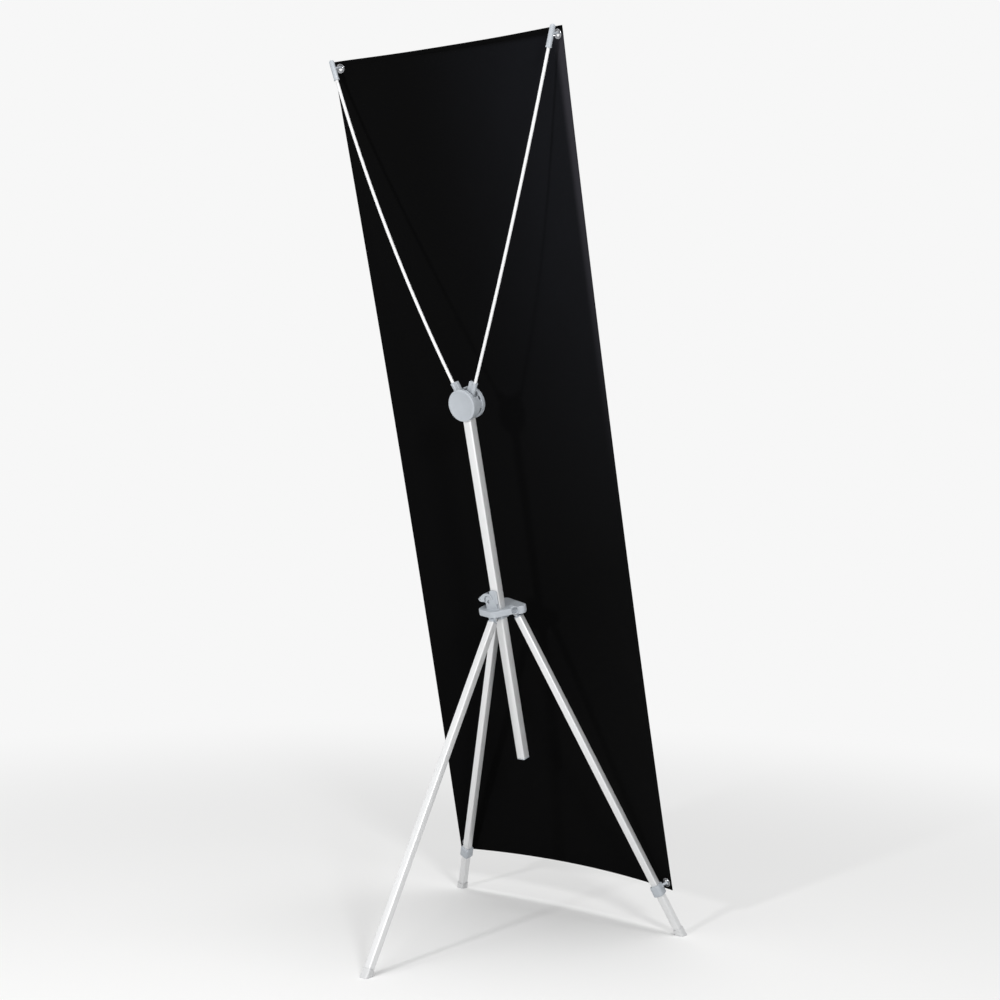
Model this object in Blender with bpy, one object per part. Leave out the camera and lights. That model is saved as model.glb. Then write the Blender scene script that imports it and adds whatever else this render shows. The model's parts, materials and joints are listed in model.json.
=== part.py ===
"""A tripod banner stand: a leaning mast carries two bowed arms, and a sheet hangs between them and two legs.

Units are metres. +Z is up and the sheet's front faces -Y. Left and right are as seen from the front, so left
is -X. Three frames are used. The stand frame has its floor at Z = 0. The mast frame stands at the hub's
centre, with Z up along the mast and Y to the rear. Each leg, arm and lever has a frame of its own on its
joint's axis.
"""

import math

import bmesh
import bpy
from mathutils import Matrix, Vector
from mathutils.geometry import convex_hull_2d

# The stance
MAST_LEAN = math.radians(15.63)
HUB_HEIGHT = 0.691
CLEARANCE = 0.0003

# How far joined shapes reach into each other, and a cutter past what it cuts
OVERLAP = 0.001
CUT_PAST = 0.02

# The sheet and its eyelets
SHEET_WIDTH = 0.600
SHEET_TAPER = 0.013
SHEET_FOOT_WIDTH = SHEET_WIDTH - SHEET_TAPER
SHEET_HEIGHT = 1.800
SHEET_THICKNESS = 0.0005
SHEET_EDGE_PULL = 0.0067
SHEET_EDGE_BOW = 0.004
SHEET_TOP_BEND = math.radians(11.5)
SHEET_FOOT_BEND = math.radians(12)
EYELET_INSET = 0.015
EYELET_RADIUS = 0.010
EYELET_BORE = 0.005
EYELET_WALL = 0.0008
EYELET_ROLL = 0.0004
EYELET_EDGE = 0.0008
EYELET_CROWN = 0.8

# The mast
MAST_SIDE = 0.020
MAST_CORNER = 0.003
MAST_WALL = 0.0012
MAST_BELOW_HUB = 0.335
MAST_PLUG_HEAD = 0.0025
MAST_PLUG_TONGUE = 0.016
MAST_PLUG_EDGE = 0.0008

# The hub
HUB_PLATE_THICKNESS = 0.014
HUB_EDGE = 0.0015
HUB_REAR_LOBE = (0.0, 0.017, 0.0145)
HUB_LEFT_LOBE = (-0.039, -0.025, 0.014)
HUB_RIGHT_LOBE = (0.029, 0.007, 0.017)
HUB_FRONT_LOBE = (0.022, -0.043, 0.017)
HUB_SLEEVE_SIDE = 0.027
HUB_SLEEVE_DEPTH = 0.008
SKIRT_DEPTH = 0.0092
SKIRT_WALL = 0.0045
SKIRT_START = 0.006
SKIRT_SLOT_ROOM = 0.0006
SKIRT_INSET = 0.0009
GUIDE_WALL = 0.003
GUIDE_HEIGHT = 0.034
GUIDE_REACH = 0.0046
GUIDE_PAST_MAST = 0.0015
GUIDE_CHAMFER = 0.003
GUIDE_SLOPE_WIDE = 0.004
GUIDE_SLOPE_HIGH = 0.006
GUIDE_THINNER = 0.0004

# The clamp on the hub's right side
CLAMP_PIN_OUT = 0.018
CLAMP_PIN_UP = 0.0145
CLAMP_PIN_RADIUS = 0.002
CLAMP_EAR_RADIUS = 0.0085
CLAMP_EAR_BASE_IN = 0.004
CLAMP_EAR_BASE_HIGH = 0.0058
CLAMP_CAM_RADIUS = 0.0055
SHOE_THICKNESS = 0.0019
SHOE_HEIGHT = 0.0265
SHOE_WIDTH = 0.0168
SHOE_EDGE = 0.0003
LEVER_EDGE = 0.0007
# The lever's outline from the cam over the hump to the finger tab and back, seen along its pin
LEVER_OUTLINE = (
    (-0.0055, 0.000),
    (-0.0055, 0.0125),
    (-0.0067, 0.0148),
    (-0.0065, 0.0180),
    (-0.0040, 0.0200),
    (0.0005, 0.0199),
    (0.0060, 0.0175),
    (0.0115, 0.0135),
    (0.0170, 0.0092),
    (0.0235, 0.0086),
    (0.0264, 0.0070),
    (0.0268, 0.0048),
    (0.0235, 0.0022),
    (0.0160, -0.0005),
    (0.0105, -0.0030),
)

# A rivet's head, in parts of its pin's radius
RIVET_HEAD = 1.7
RIVET_DOME = 0.55
RIVET_CROWN = 0.8

# The legs
LEG_SIDE = 0.016
LEG_CORNER = 0.0025
LEG_WALL = 0.0012
LEG_PIVOT_DROP = 0.0115
REAR_PIVOT_OUT = 0.0245
FRONT_PIVOT_X = 0.0268
FRONT_PIVOT_Y = -0.0235
FRONT_LEG_TURN = math.radians(81.5)
REAR_LEG_SPREAD = math.radians(45.2)
LEG_PIN_RADIUS = 0.002
LEG_EYE_RADIUS = 0.0048
LEG_EYE_WIDTH = 0.009
LEG_EAR_THICKNESS = 0.004
LEG_EAR_RADIUS = 0.0052
LEG_EAR_FLARE = 0.0005
LEG_NECK = 0.0056
LEG_SHOULDER = 0.0024
LEG_TONGUE = 0.020
KNUCKLE_EDGE = 0.0005
SHOULDER_EDGE = 0.0008
FOOT_SIDE = 0.019
FOOT_CORNER = 0.004
FOOT_SLEEVE = 0.017
FOOT_TUBE_LIFT = 0.010
FOOT_EDGE = 0.001

# The collars on the front legs
COLLAR_SIDE = 0.024
COLLAR_CORNER = 0.006
COLLAR_LENGTH = 0.024
COLLAR_EDGE = 0.001
COLLAR_PEG_ABOVE = 0.005
PEG_UP_LEG = 0.1153
COLLAR_PEG_REACH = 0.0237
COLLAR_PEG_TURN = math.radians(42)
PEG_RADIUS = 0.0028
PEG_LEAN = math.radians(32)
PEG_PAST_EYELET = 0.008
PEG_HEAD = ((0, -0.0005), (0.0036, -0.0005), (0.0039, 0.0005), (0.0032, 0.0019), (0, 0.0025))

# The head
HEAD_ABOVE_HUB = 0.4503
HEAD_RADIUS = 0.0335
COVER_THICKNESS = 0.009
COVER_FACE = 0.003
COVER_RIM = 0.0035
COVER_STEP = 0.0006
COVER_STEP_IN = 0.0055
COVER_STEP_SLOPE = 0.0008
COVER_EDGE = 0.0014
COVER_BOSS_WALL = 0.003
COVER_BOSS_DEPTH = 0.0035
SCREW_POST_RADIUS = 0.0042
SCREW_POST_DEPTH = 0.004
CORE_RADIUS = 0.0315
CORE_TOP = 0.015
CORE_EYE_ROOM = 0.001
CORE_NOTCH_INNER = 0.027
CORE_NOTCH_START = 0.0055
CORE_NOTCHES = ((math.radians(31.5), 0.0093), (math.radians(-34.5), 0.0072))
MAST_TOP_DROP = 0.0023
HEAD_PIN_DROP = 0.018
HEAD_PIN_RADIUS = 0.0015
HEAD_PIN_PAST_MAST = 0.005
HEAD_SCREW_RADIUS = 0.0015
HEAD_SCREW_HEAD = 0.003
HEAD_SCREW_HEAD_TOP = 0.0024
HEAD_SCREW_HEAD_HEIGHT = 0.0015
HEAD_SCREW_PAST_CORE = 0.003
HEAD_SCREW_PLACES = ((-0.021, -0.015), (0.021, -0.015), (0.0, 0.003))

# The arms
ARM_PIN_OUT = 0.0154
ARM_PIN_UP = 0.013
ARM_PIN_RADIUS = 0.002
ARM_PIN_PAST_CORE = 0.003
ARM_EYE_RADIUS = 0.0075
ARM_EYE_WIDTH = 0.010
ARM_SPLAY = math.radians(24.8)
ARM_FORWARD_TILT = math.radians(3.2)
ARM_SLEEVE_RADIUS = 0.0055
ARM_SLEEVE_START = 0.004
ARM_SLEEVE_END = 0.0334
ARM_EDGE = 0.0006
ARM_TAB_WIDTH = 0.007
ARM_TAB_THICKNESS = 0.0084
ARM_TAB_START = 0.013
ARM_TAB_EXTRA = 0.005
ROD_RADIUS = 0.00325
ROD_FORWARD = 0.0738
ROD_IN_SOCKET = 0.020
ROD_IN_CAP = 0.024
CAP_LENGTH = 0.0445
CAP_RADIUS = 0.0055
CAP_DOME = 0.0044
CAP_LIP = 0.0008
CAP_LIP_HEIGHT = 0.002
HOOK_UP_CAP = 0.0256
HOOK_RADIUS = 0.0024
HOOK_LEAN = math.radians(12)
HOOK_REACH = 0.0215
HOOK_PAST_EYELET = 0.009
HOOK_TIP_START = Vector((0, 0.0022, -0.0014))
HOOK_TIP_RISE = Vector((0, -0.0005, 0.0075))
HOOK_TIP_RADIUS = 0.00226
HOOK_IN_CAP = 0.00445

# Smoothness: sides of round shapes, and the sheet's divisions
ROUND_STEPS = 20
SMALL_ROUND_STEPS = 12
CORNER_STEPS = 3
SHEET_COLUMNS = 12
SHEET_ROWS = 24
SHEET_CROWDING = 0.2
ROD_STEPS = 24

SIDES = {"left": -1, "right": 1}
FLAT = Matrix.Identity(4)


# Plain shapes


def rounded_square(side, corner):
    """Points of a square's outline whose corners are arcs."""
    points = []
    reach = side / 2 - corner
    for quarter in range(4):
        middle = math.radians(45 + 90 * quarter)
        x = reach * math.copysign(1, math.cos(middle))
        y = reach * math.copysign(1, math.sin(middle))
        for step in range(CORNER_STEPS + 1):
            angle = middle + math.radians(45) * (2 * step / CORNER_STEPS - 1)
            points.append((x + corner * math.cos(angle), y + corner * math.sin(angle)))
    return points


def circle(x, y, radius, steps=ROUND_STEPS):
    """Points of a circle's outline."""
    turns = [2 * math.pi * step / steps for step in range(steps)]
    return [(x + radius * math.cos(turn), y + radius * math.sin(turn)) for turn in turns]


def arc(start, end, steps):
    """Angles in radians from one number of degrees to another."""
    return [math.radians(start + (end - start) * step / steps) for step in range(steps + 1)]


def hull(points):
    """The outline of a tight band round the points."""
    order = convex_hull_2d([Vector(point) for point in points])
    return [points[index] for index in order]


def box_outline(low_x, high_x, low_y, high_y):
    """Points of a rectangle's outline."""
    return [(low_x, low_y), (high_x, low_y), (high_x, high_y), (low_x, high_y)]


def prism(outline, low, high, edge=0.0):
    """A solid with that outline between two heights, its two rims rounded by edge."""
    mesh = bmesh.new()
    bottom = [mesh.verts.new((x, y, low)) for x, y in outline]
    top = [mesh.verts.new((x, y, high)) for x, y in outline]
    mesh.faces.new(bottom[::-1])
    mesh.faces.new(top)
    for index in range(len(outline)):
        after = (index + 1) % len(outline)
        mesh.faces.new((bottom[index], bottom[after], top[after], top[index]))
    bmesh.ops.recalc_face_normals(mesh, faces=mesh.faces)
    if edge:
        rims = [e for e in mesh.edges if e.calc_face_angle() > math.radians(60)]
        bmesh.ops.bevel(
            mesh, geom=rims, offset=edge, segments=2, profile=0.5, affect="EDGES", clamp_overlap=True
        )
    return mesh


def pipe(outer, inner, low, high):
    """A tube between two heights, open at both ends."""
    mesh = bmesh.new()
    rings = []
    for outline, height in ((outer, low), (outer, high), (inner, high), (inner, low)):
        rings.append([mesh.verts.new((x, y, height)) for x, y in outline])
    count = len(outer)
    for ring, following in zip(rings, rings[1:] + rings[:1]):
        for index in range(count):
            after = (index + 1) % count
            mesh.faces.new((ring[index], ring[after], following[after], following[index]))
    bmesh.ops.recalc_face_normals(mesh, faces=mesh.faces)
    return mesh


def turned(profile, steps=ROUND_STEPS, ring=False):
    """A solid turned round Z from (radius, height) points; a ring's profile closes on itself."""
    mesh = bmesh.new()
    rows = []
    for radius, height in profile:
        if radius == 0:
            rows.append([mesh.verts.new((0, 0, height))] * steps)
        else:
            rows.append([mesh.verts.new((x, y, height)) for x, y in circle(0, 0, radius, steps)])
    pairs = list(zip(rows, rows[1:]))
    if ring:
        pairs.append((rows[-1], rows[0]))
    for row, following in pairs:
        for index in range(steps):
            after = (index + 1) % steps
            corners = [row[index], row[after], following[after], following[index]]
            mesh.faces.new(dict.fromkeys(corners))
    bmesh.ops.recalc_face_normals(mesh, faces=mesh.faces)
    return mesh


def rod(start, end, radius, steps=SMALL_ROUND_STEPS):
    """A straight round rod between two points."""
    way = Vector(end) - Vector(start)
    mesh = turned([(0, 0), (radius, 0), (radius, way.length), (0, way.length)], steps)
    turn = way.to_track_quat("Z", "Y").to_matrix().to_4x4()
    mesh.transform(Matrix.Translation(start) @ turn)
    return mesh


def moved(mesh, matrix):
    """The same shape, moved by a matrix."""
    mesh.transform(matrix)
    return mesh


def facing(out, across=(1, 0, 0)):
    """A turn that takes +Z to out, and +X as near to across as it goes."""
    z = Vector(out).normalized()
    y = z.cross(Vector(across)).normalized()
    x = y.cross(z)
    return Matrix((x, y, z)).transposed().to_4x4()


ALONG_Y = facing((0, -1, 0))
ALONG_X = facing((1, 0, 0), (0, 1, 0))


# Objects and materials


def material(name, colour, roughness, metallic):
    """A plain surface of one colour."""
    made = bpy.data.materials.new(name)
    made.use_nodes = True
    surface = made.node_tree.nodes["Principled BSDF"]
    surface.inputs["Base Color"].default_value = (*colour, 1)
    surface.inputs["Roughness"].default_value = roughness
    surface.inputs["Metallic"].default_value = metallic
    made.diffuse_color = (*colour, 1)
    return made


def frame(name, parent, matrix):
    """An empty that carries pieces."""
    made = bpy.data.objects.new(name, None)
    bpy.context.scene.collection.objects.link(made)
    made.parent = parent
    made.matrix_local = matrix
    return made


def shape(name, mesh):
    """An object at the origin with that mesh."""
    data = bpy.data.meshes.new(name)
    mesh.to_mesh(data)
    mesh.free()
    made = bpy.data.objects.new(name, data)
    bpy.context.scene.collection.objects.link(made)
    return made


def combine(target, mesh, operation):
    """Joins a mesh to an object, or cuts it out, and keeps the result as plain faces."""
    tool = shape("tool", mesh)
    step = target.modifiers.new("step", "BOOLEAN")
    step.operation = operation
    step.solver = "EXACT"
    step.object = tool
    bpy.context.view_layer.update()
    seen = target.evaluated_get(bpy.context.evaluated_depsgraph_get())
    result = bpy.data.meshes.new_from_object(seen)
    old = target.data
    target.modifiers.clear()
    target.data = result
    bpy.data.meshes.remove(old)
    bpy.data.objects.remove(tool)


def join(target, *meshes):
    """Joins each mesh to the object."""
    for mesh in meshes:
        combine(target, mesh, "UNION")


def cut(target, *meshes):
    """Cuts each mesh out of the object."""
    for mesh in meshes:
        combine(target, mesh, "DIFFERENCE")


def finish(made, surface, parent, matrix=FLAT):
    """Gives an object its material, its smooth shading and its place."""
    made.data.materials.clear()
    made.data.materials.append(surface)
    made.data.shade_smooth()
    made.data.set_sharp_from_angle(angle=math.radians(35))
    made.parent = parent
    made.matrix_local = matrix
    return made


# The stance, worked out from the driving sizes


def solve(excess, low, high):
    """The value between low and high where excess turns from negative to positive."""
    for _ in range(50):
        middle = (low + high) / 2
        if excess(middle) > 0:
            high = middle
        else:
            low = middle
    return middle


def leg_frame(pivot, turn, spread):
    """A leg's frame in the mast frame: -Z runs down the leg, and turning about +X folds it to the mast.

    turn is counted from the front towards +X, and spread is the angle between leg and mast.
    """
    level = math.sin(spread)
    up = Vector((-level * math.sin(turn), level * math.cos(turn), math.cos(spread)))
    axis = up.cross(Vector((0, 0, 1))).normalized()
    across = up.cross(axis)
    turned_frame = Matrix((axis, across, up)).transposed().to_4x4()
    return Matrix.Translation(pivot) @ turned_frame


def front_leg(side, spread):
    """The frame of a front leg at that spread."""
    pivot = Vector((side * FRONT_PIVOT_X, FRONT_PIVOT_Y, -LEG_PIVOT_DROP))
    return leg_frame(pivot, side * FRONT_LEG_TURN, spread)


def leg_reach(leg):
    """How far it is from a leg's pivot down the leg to the floor."""
    placed = MAST_FRAME @ leg
    return placed.translation.z / placed.col[2].z


def peg_direction(leg, side):
    """The way a collar's peg points, in its leg's frame: square to the leg, between forward and outward."""
    to_leg = leg.to_3x3().inverted()
    forward = to_leg @ Vector((0, -1, 0))
    forward.z = 0
    forward.normalize()
    outward = Vector((0, 0, 1)).cross(forward)
    if (leg.to_3x3() @ outward).x * side < 0:
        outward = -outward
    return math.cos(COLLAR_PEG_TURN) * forward + math.sin(COLLAR_PEG_TURN) * outward


HUB_TOP = HUB_PLATE_THICKNESS / 2
HUB_AT = Vector((0, HUB_HEIGHT * math.tan(MAST_LEAN), HUB_HEIGHT))
MAST_FRAME = Matrix.Translation(HUB_AT) @ Matrix.Rotation(-MAST_LEAN, 4, "X")


def sheet_share(down):
    """How far down the sheet a point is, from 0 at the upper eyelets to 1 at the lower ones."""
    return (down - EYELET_INSET) / (SHEET_HEIGHT - 2 * EYELET_INSET)


def sheet_width(down):
    """The sheet's width at that distance from its top."""
    return SHEET_WIDTH + (SHEET_FOOT_WIDTH - SHEET_WIDTH) * sheet_share(down)


def eyelet_across(width):
    """How far out an eyelet is on a sheet of that width, where 0 is the middle and 1 the edge."""
    return 1 - EYELET_INSET / (width / 2)


def eyelet_offset(bend, width):
    """How far from the middle an eyelet sits when half of that width follows an arc of that angle."""
    return width / 2 * math.sin(bend * eyelet_across(width)) / bend


# The arms' curve, in the frame of the arm's pin


def arm_base(side):
    """The way a rod leaves its socket."""
    level = math.cos(ARM_FORWARD_TILT)
    across = side * math.sin(ARM_SPLAY) * level
    return Vector((across, -math.sin(ARM_FORWARD_TILT), math.cos(ARM_SPLAY) * level))


def rod_curve(side, spread, rise):
    """Start, middle handle and end of the bowed part of a rod, from the socket's mouth to the tip cap."""
    start = arm_base(side) * ARM_SLEEVE_END
    end = start + Vector((side * spread, -ROD_FORWARD, rise))
    handle = start + arm_base(side) * (rise / 2 / arm_base(side).z)
    return start, handle, end


def hook_root(side, spread, rise):
    """The point inside a tip cap where its hook starts, in the frame of the arm's pin."""
    start, handle, end = rod_curve(side, spread, rise)
    return end + (end - handle).normalized() * HOOK_UP_CAP


ARM_PINS = {side: Vector((side * ARM_PIN_OUT, 0, HEAD_ABOVE_HUB + ARM_PIN_UP)) for side in SIDES.values()}


# The sheet, stretched from the arms' hooks to the collars' pegs


def seat_slack(radius, lean):
    """How far an eyelet's centre hangs off the line of the peg in it, where the peg leans from its axis."""
    half_height = SHEET_THICKNESS / 2 + CLEARANCE + EYELET_WALL
    return EYELET_BORE - radius / math.cos(lean) - half_height * math.tan(lean) - CLEARANCE


def hook_seat(side, spread, rise):
    """The point of a tip cap's hook that an upper eyelet hangs on, in the stand frame."""
    root = hook_root(side, spread, rise)
    return MAST_FRAME @ (ARM_PINS[side] + root + Vector((0, -HOOK_REACH, 0)))


def peg_seat(side, leg):
    """The point of a collar's peg that a lower eyelet hangs on, in the stand frame."""
    root = Vector((0, 0, PEG_UP_LEG - leg_reach(leg)))
    return MAST_FRAME @ leg @ (root + peg_direction(leg, side) * COLLAR_PEG_REACH)


def spread_excess(spread):
    """How far a front leg's peg is outside the sheet's lower eyelet."""
    return peg_seat(1, front_leg(1, spread)).x - eyelet_offset(SHEET_FOOT_BEND, SHEET_FOOT_WIDTH)


def rod_spread(rise):
    """How far out a rod goes for its hook to meet the sheet's upper eyelet."""
    wanted = eyelet_offset(SHEET_TOP_BEND, SHEET_WIDTH)
    return solve(lambda spread: hook_seat(1, spread, rise).x - wanted, 0, SHEET_WIDTH)


def rise_excess(rise):
    """How much further apart hook and peg are than the taut sheet allows."""
    wanted = SHEET_HEIGHT - 2 * EYELET_INSET + HOOK_SLACK + PEG_SLACK
    return (hook_seat(1, rod_spread(rise), rise) - PEG_SEAT).length - wanted


FRONT_LEG_SPREAD = solve(spread_excess, math.radians(1), math.radians(70))
LEG_FRAMES = {
    "rear": leg_frame(Vector((0, REAR_PIVOT_OUT, -LEG_PIVOT_DROP)), math.pi, REAR_LEG_SPREAD),
    "left": front_leg(-1, FRONT_LEG_SPREAD),
    "right": front_leg(1, FRONT_LEG_SPREAD),
}
PEG_SEAT = peg_seat(1, LEG_FRAMES["right"])
HOOK_SLACK = seat_slack(HOOK_RADIUS, HOOK_LEAN)
PEG_SLACK = seat_slack(PEG_RADIUS, PEG_LEAN)
ROD_RISE = solve(rise_excess, 0.01, SHEET_HEIGHT)
ROD_SPREAD = rod_spread(ROD_RISE)
HOOK_SEAT = hook_seat(1, ROD_SPREAD, ROD_RISE)
PULL = (PEG_SEAT - HOOK_SEAT).normalized()
TOP_EYELET = HOOK_SEAT + PULL * HOOK_SLACK
BOTTOM_EYELET = PEG_SEAT - PULL * PEG_SLACK
SHEET_DOWN = Vector((0, BOTTOM_EYELET.y - TOP_EYELET.y, BOTTOM_EYELET.z - TOP_EYELET.z))
SHEET_FRONT = SHEET_DOWN.cross(Vector((1, 0, 0))).normalized()


def sheet_bend(eyelet_x, width):
    """Half the angle of the sheet's arc when its eyelets are that far from the middle."""
    return solve(lambda bend: eyelet_x - eyelet_offset(bend, width), 0.001, math.pi / 2)


def sheet_point(across, down):
    """A point of the sheet's middle layer and its front normal.

    across runs from -1 to 1, and down is in metres from the top.
    """
    share = sheet_share(down)
    width = sheet_width(down)
    swell = 4 * share * (1 - share)
    eyelet_x = TOP_EYELET.x + (BOTTOM_EYELET.x - TOP_EYELET.x) * share - SHEET_EDGE_PULL * swell
    bend = sheet_bend(eyelet_x, width)
    radius = width / 2 / bend
    chord = radius * math.cos(bend * eyelet_across(width))
    depth = radius * math.cos(bend * across) - chord + SHEET_EDGE_BOW * swell
    line = Vector((0, TOP_EYELET.y, TOP_EYELET.z)) + SHEET_DOWN * share
    place = line + Vector((radius * math.sin(bend * across), 0, 0)) + SHEET_FRONT * depth
    normal = Vector((math.sin(bend * across), 0, 0)) + SHEET_FRONT * math.cos(bend * across)
    return place, normal


def eyelet_frame(side, down):
    """An eyelet's place on the sheet in the stand frame, with +Z to the sheet's front."""
    place, normal = sheet_point(side * eyelet_across(sheet_width(down)), down)
    return Matrix.Translation(place) @ facing(normal)


# The hub and its clamp


def hub_outline():
    """The plate's outline: a band round its four lobes."""
    points = []
    for lobe in (HUB_REAR_LOBE, HUB_LEFT_LOBE, HUB_RIGHT_LOBE, HUB_FRONT_LOBE):
        points += circle(*lobe, ROUND_STEPS)
    return hull(points)


def leg_ear(shift):
    """One ear of a leg's fork, that far along the pin. X is on the pin and Z runs up the mast."""
    top = LEG_PIVOT_DROP - HUB_TOP + HUB_EDGE + OVERLAP
    foot = circle(0, 0, LEG_EAR_RADIUS, SMALL_ROUND_STEPS)
    outline = hull(foot + [(-LEG_EAR_RADIUS - LEG_EAR_FLARE, top), (LEG_EAR_RADIUS + LEG_EAR_FLARE, top)])
    ear = prism(outline, -LEG_EAR_THICKNESS / 2, LEG_EAR_THICKNESS / 2)
    return moved(ear, Matrix.Translation((shift, 0, 0)) @ ALONG_X)


def fork_frame(leg):
    """A frame at a leg's pivot with X on its pin and Z up the mast."""
    axis = leg.to_3x3() @ Vector((1, 0, 0))
    return Matrix.Translation(leg.translation) @ facing((0, 0, 1), axis)


def hub_skirt():
    """The wall that hangs from the plate's left lobe and hides the top of that leg, open at its inner end."""
    leg = LEG_FRAMES["left"]
    inner = LEG_SIDE / 2 + SKIRT_SLOT_ROOM
    lobe = Vector(HUB_LEFT_LOBE[:2])
    radius = HUB_LEFT_LOBE[2] - SKIRT_INSET
    out = (lobe - leg.translation.xy).normalized()
    start = leg.translation.xy + out * SKIRT_START
    side = Vector((-out.y, out.x))
    outer = inner + SKIRT_WALL
    points = []
    for turn in arc(-90, 90, SMALL_ROUND_STEPS):
        points.append(lobe + out * (radius * math.cos(turn)) + side * (outer * math.sin(turn)))
    points += [start + side * outer, start + side * inner]
    within = radius - SKIRT_WALL
    for turn in arc(90, -90, SMALL_ROUND_STEPS):
        points.append(lobe + out * (within * math.cos(turn)) + side * (inner * math.sin(turn)))
    points += [start - side * inner, start - side * outer]
    return prism([tuple(point) for point in points], -HUB_TOP - SKIRT_DEPTH, -HUB_TOP + HUB_EDGE + OVERLAP)


def make_hub(surface, parent):
    """The moulded hub: plate, mast sleeve, clamp cheeks and three forks."""
    hub = shape("hub_plate", prism(hub_outline(), -HUB_TOP, HUB_TOP, HUB_EDGE))
    sleeve = rounded_square(HUB_SLEEVE_SIDE, MAST_CORNER)
    join(hub, prism(sleeve, -HUB_TOP - HUB_SLEEVE_DEPTH, 0))
    inner = MAST_SIDE / 2 + CLEARANCE / 2
    ear = circle(CLAMP_PIN_OUT, HUB_TOP + CLAMP_PIN_UP, CLAMP_EAR_RADIUS)
    ear_near = MAST_SIDE / 2 - CLAMP_EAR_BASE_IN
    ear_far = CLAMP_PIN_OUT + CLAMP_EAR_RADIUS + OVERLAP
    ear = hull(ear + box_outline(ear_near, ear_far, 0, HUB_TOP + CLAMP_EAR_BASE_HIGH))
    guide_top = HUB_TOP + GUIDE_HEIGHT
    guide_far = MAST_SIDE / 2 + GUIDE_PAST_MAST
    guide = [
        (-GUIDE_REACH, 0),
        (guide_far, 0),
        (guide_far, guide_top - GUIDE_CHAMFER),
        (guide_far - GUIDE_CHAMFER, guide_top),
        (GUIDE_SLOPE_WIDE - GUIDE_REACH, guide_top),
        (-GUIDE_REACH, guide_top - GUIDE_SLOPE_HIGH),
    ]
    for way in (1, -1):
        low, high = sorted((-way * inner, -way * (inner + GUIDE_WALL)))
        join(hub, moved(prism(ear, low, high), ALONG_Y))
        low, high = sorted((-way * inner, -way * (inner + GUIDE_WALL - GUIDE_THINNER)))
        join(hub, moved(prism(guide, low, high), ALONG_Y))
    join(hub, hub_skirt())
    shift = LEG_EYE_WIDTH / 2 + CLEARANCE + LEG_EAR_THICKNESS / 2
    for leg in LEG_FRAMES.values():
        for way in (-1, 1):
            join(hub, moved(leg_ear(way * shift), fork_frame(leg)))
    hole = rounded_square(MAST_SIDE + 2 * CLEARANCE, MAST_CORNER + CLEARANCE)
    cut(hub, prism(hole, -HUB_TOP - CUT_PAST, guide_top + CUT_PAST))
    for leg in LEG_FRAMES.values():
        bore = rod((-CUT_PAST, 0, 0), (CUT_PAST, 0, 0), LEG_PIN_RADIUS + CLEARANCE)
        cut(hub, moved(bore, fork_frame(leg)))
        # The pocket for the leg's eye stops just short of the ears' inner faces
        reach = LEG_EYE_WIDTH / 2 + CLEARANCE * 0.75
        pocket = rod((-reach, 0, 0), (reach, 0, 0), LEG_EYE_RADIUS + CLEARANCE, ROUND_STEPS)
        cut(hub, moved(pocket, fork_frame(leg)))
    pin = Vector((CLAMP_PIN_OUT, 0, HUB_TOP + CLAMP_PIN_UP))
    reach = Vector((0, CUT_PAST, 0))
    cut(hub, rod(pin - reach, pin + reach, CLAMP_PIN_RADIUS + CLEARANCE))
    return finish(hub, surface, parent)


def rivet(name, radius, length, surface, parent, matrix):
    """A pin along X with a low head at each end, length long between its heads."""
    half = length / 2
    head = radius * RIVET_HEAD
    crown = head * RIVET_CROWN
    tall = radius * RIVET_DOME
    profile = [(0, -half - tall), (crown, -half - tall), (head, -half), (radius, -half)]
    profile += [(radius, half), (head, half), (crown, half + tall), (0, half + tall)]
    pin = shape(name, turned(profile, SMALL_ROUND_STEPS))
    pin.data.transform(ALONG_X)
    return finish(pin, surface, parent, matrix)


def make_clamp(plastic, steel, rubber, hub, mast_frame):
    """The cam lever, its pin and the shoe that it presses on the mast."""
    pin_at = Matrix.Translation((CLAMP_PIN_OUT, 0, HUB_TOP + CLAMP_PIN_UP))
    width = MAST_SIDE + CLEARANCE + 2 * GUIDE_WALL + 2 * CLEARANCE
    rivet("lever_pin", CLAMP_PIN_RADIUS, width, steel, hub, pin_at @ facing((0, 0, 1), (0, 1, 0)))
    shoe_low = MAST_SIDE / 2 + CLEARANCE
    outline = box_outline(shoe_low, shoe_low + SHOE_THICKNESS, -SHOE_WIDTH / 2, SHOE_WIDTH / 2)
    shoe = shape("clamp_shoe", prism(outline, HUB_TOP + CLEARANCE, HUB_TOP + SHOE_HEIGHT, SHOE_EDGE))
    finish(shoe, rubber, hub)
    lever_frame = frame("lever_joint", mast_frame, pin_at)
    outline = list(LEVER_OUTLINE)
    for turn in arc(-50, -170, 6):
        outline.append((CLAMP_CAM_RADIUS * math.cos(turn), CLAMP_CAM_RADIUS * math.sin(turn)))
    half = MAST_SIDE / 2 + CLEARANCE / 2 - CLEARANCE
    lever = shape("clamp_lever", moved(prism(outline, -half, half, LEVER_EDGE), ALONG_Y))
    cut(lever, rod((0, -CUT_PAST, 0), (0, CUT_PAST, 0), CLAMP_PIN_RADIUS + CLEARANCE))
    finish(lever, plastic, lever_frame)


# The mast and the head


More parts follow.
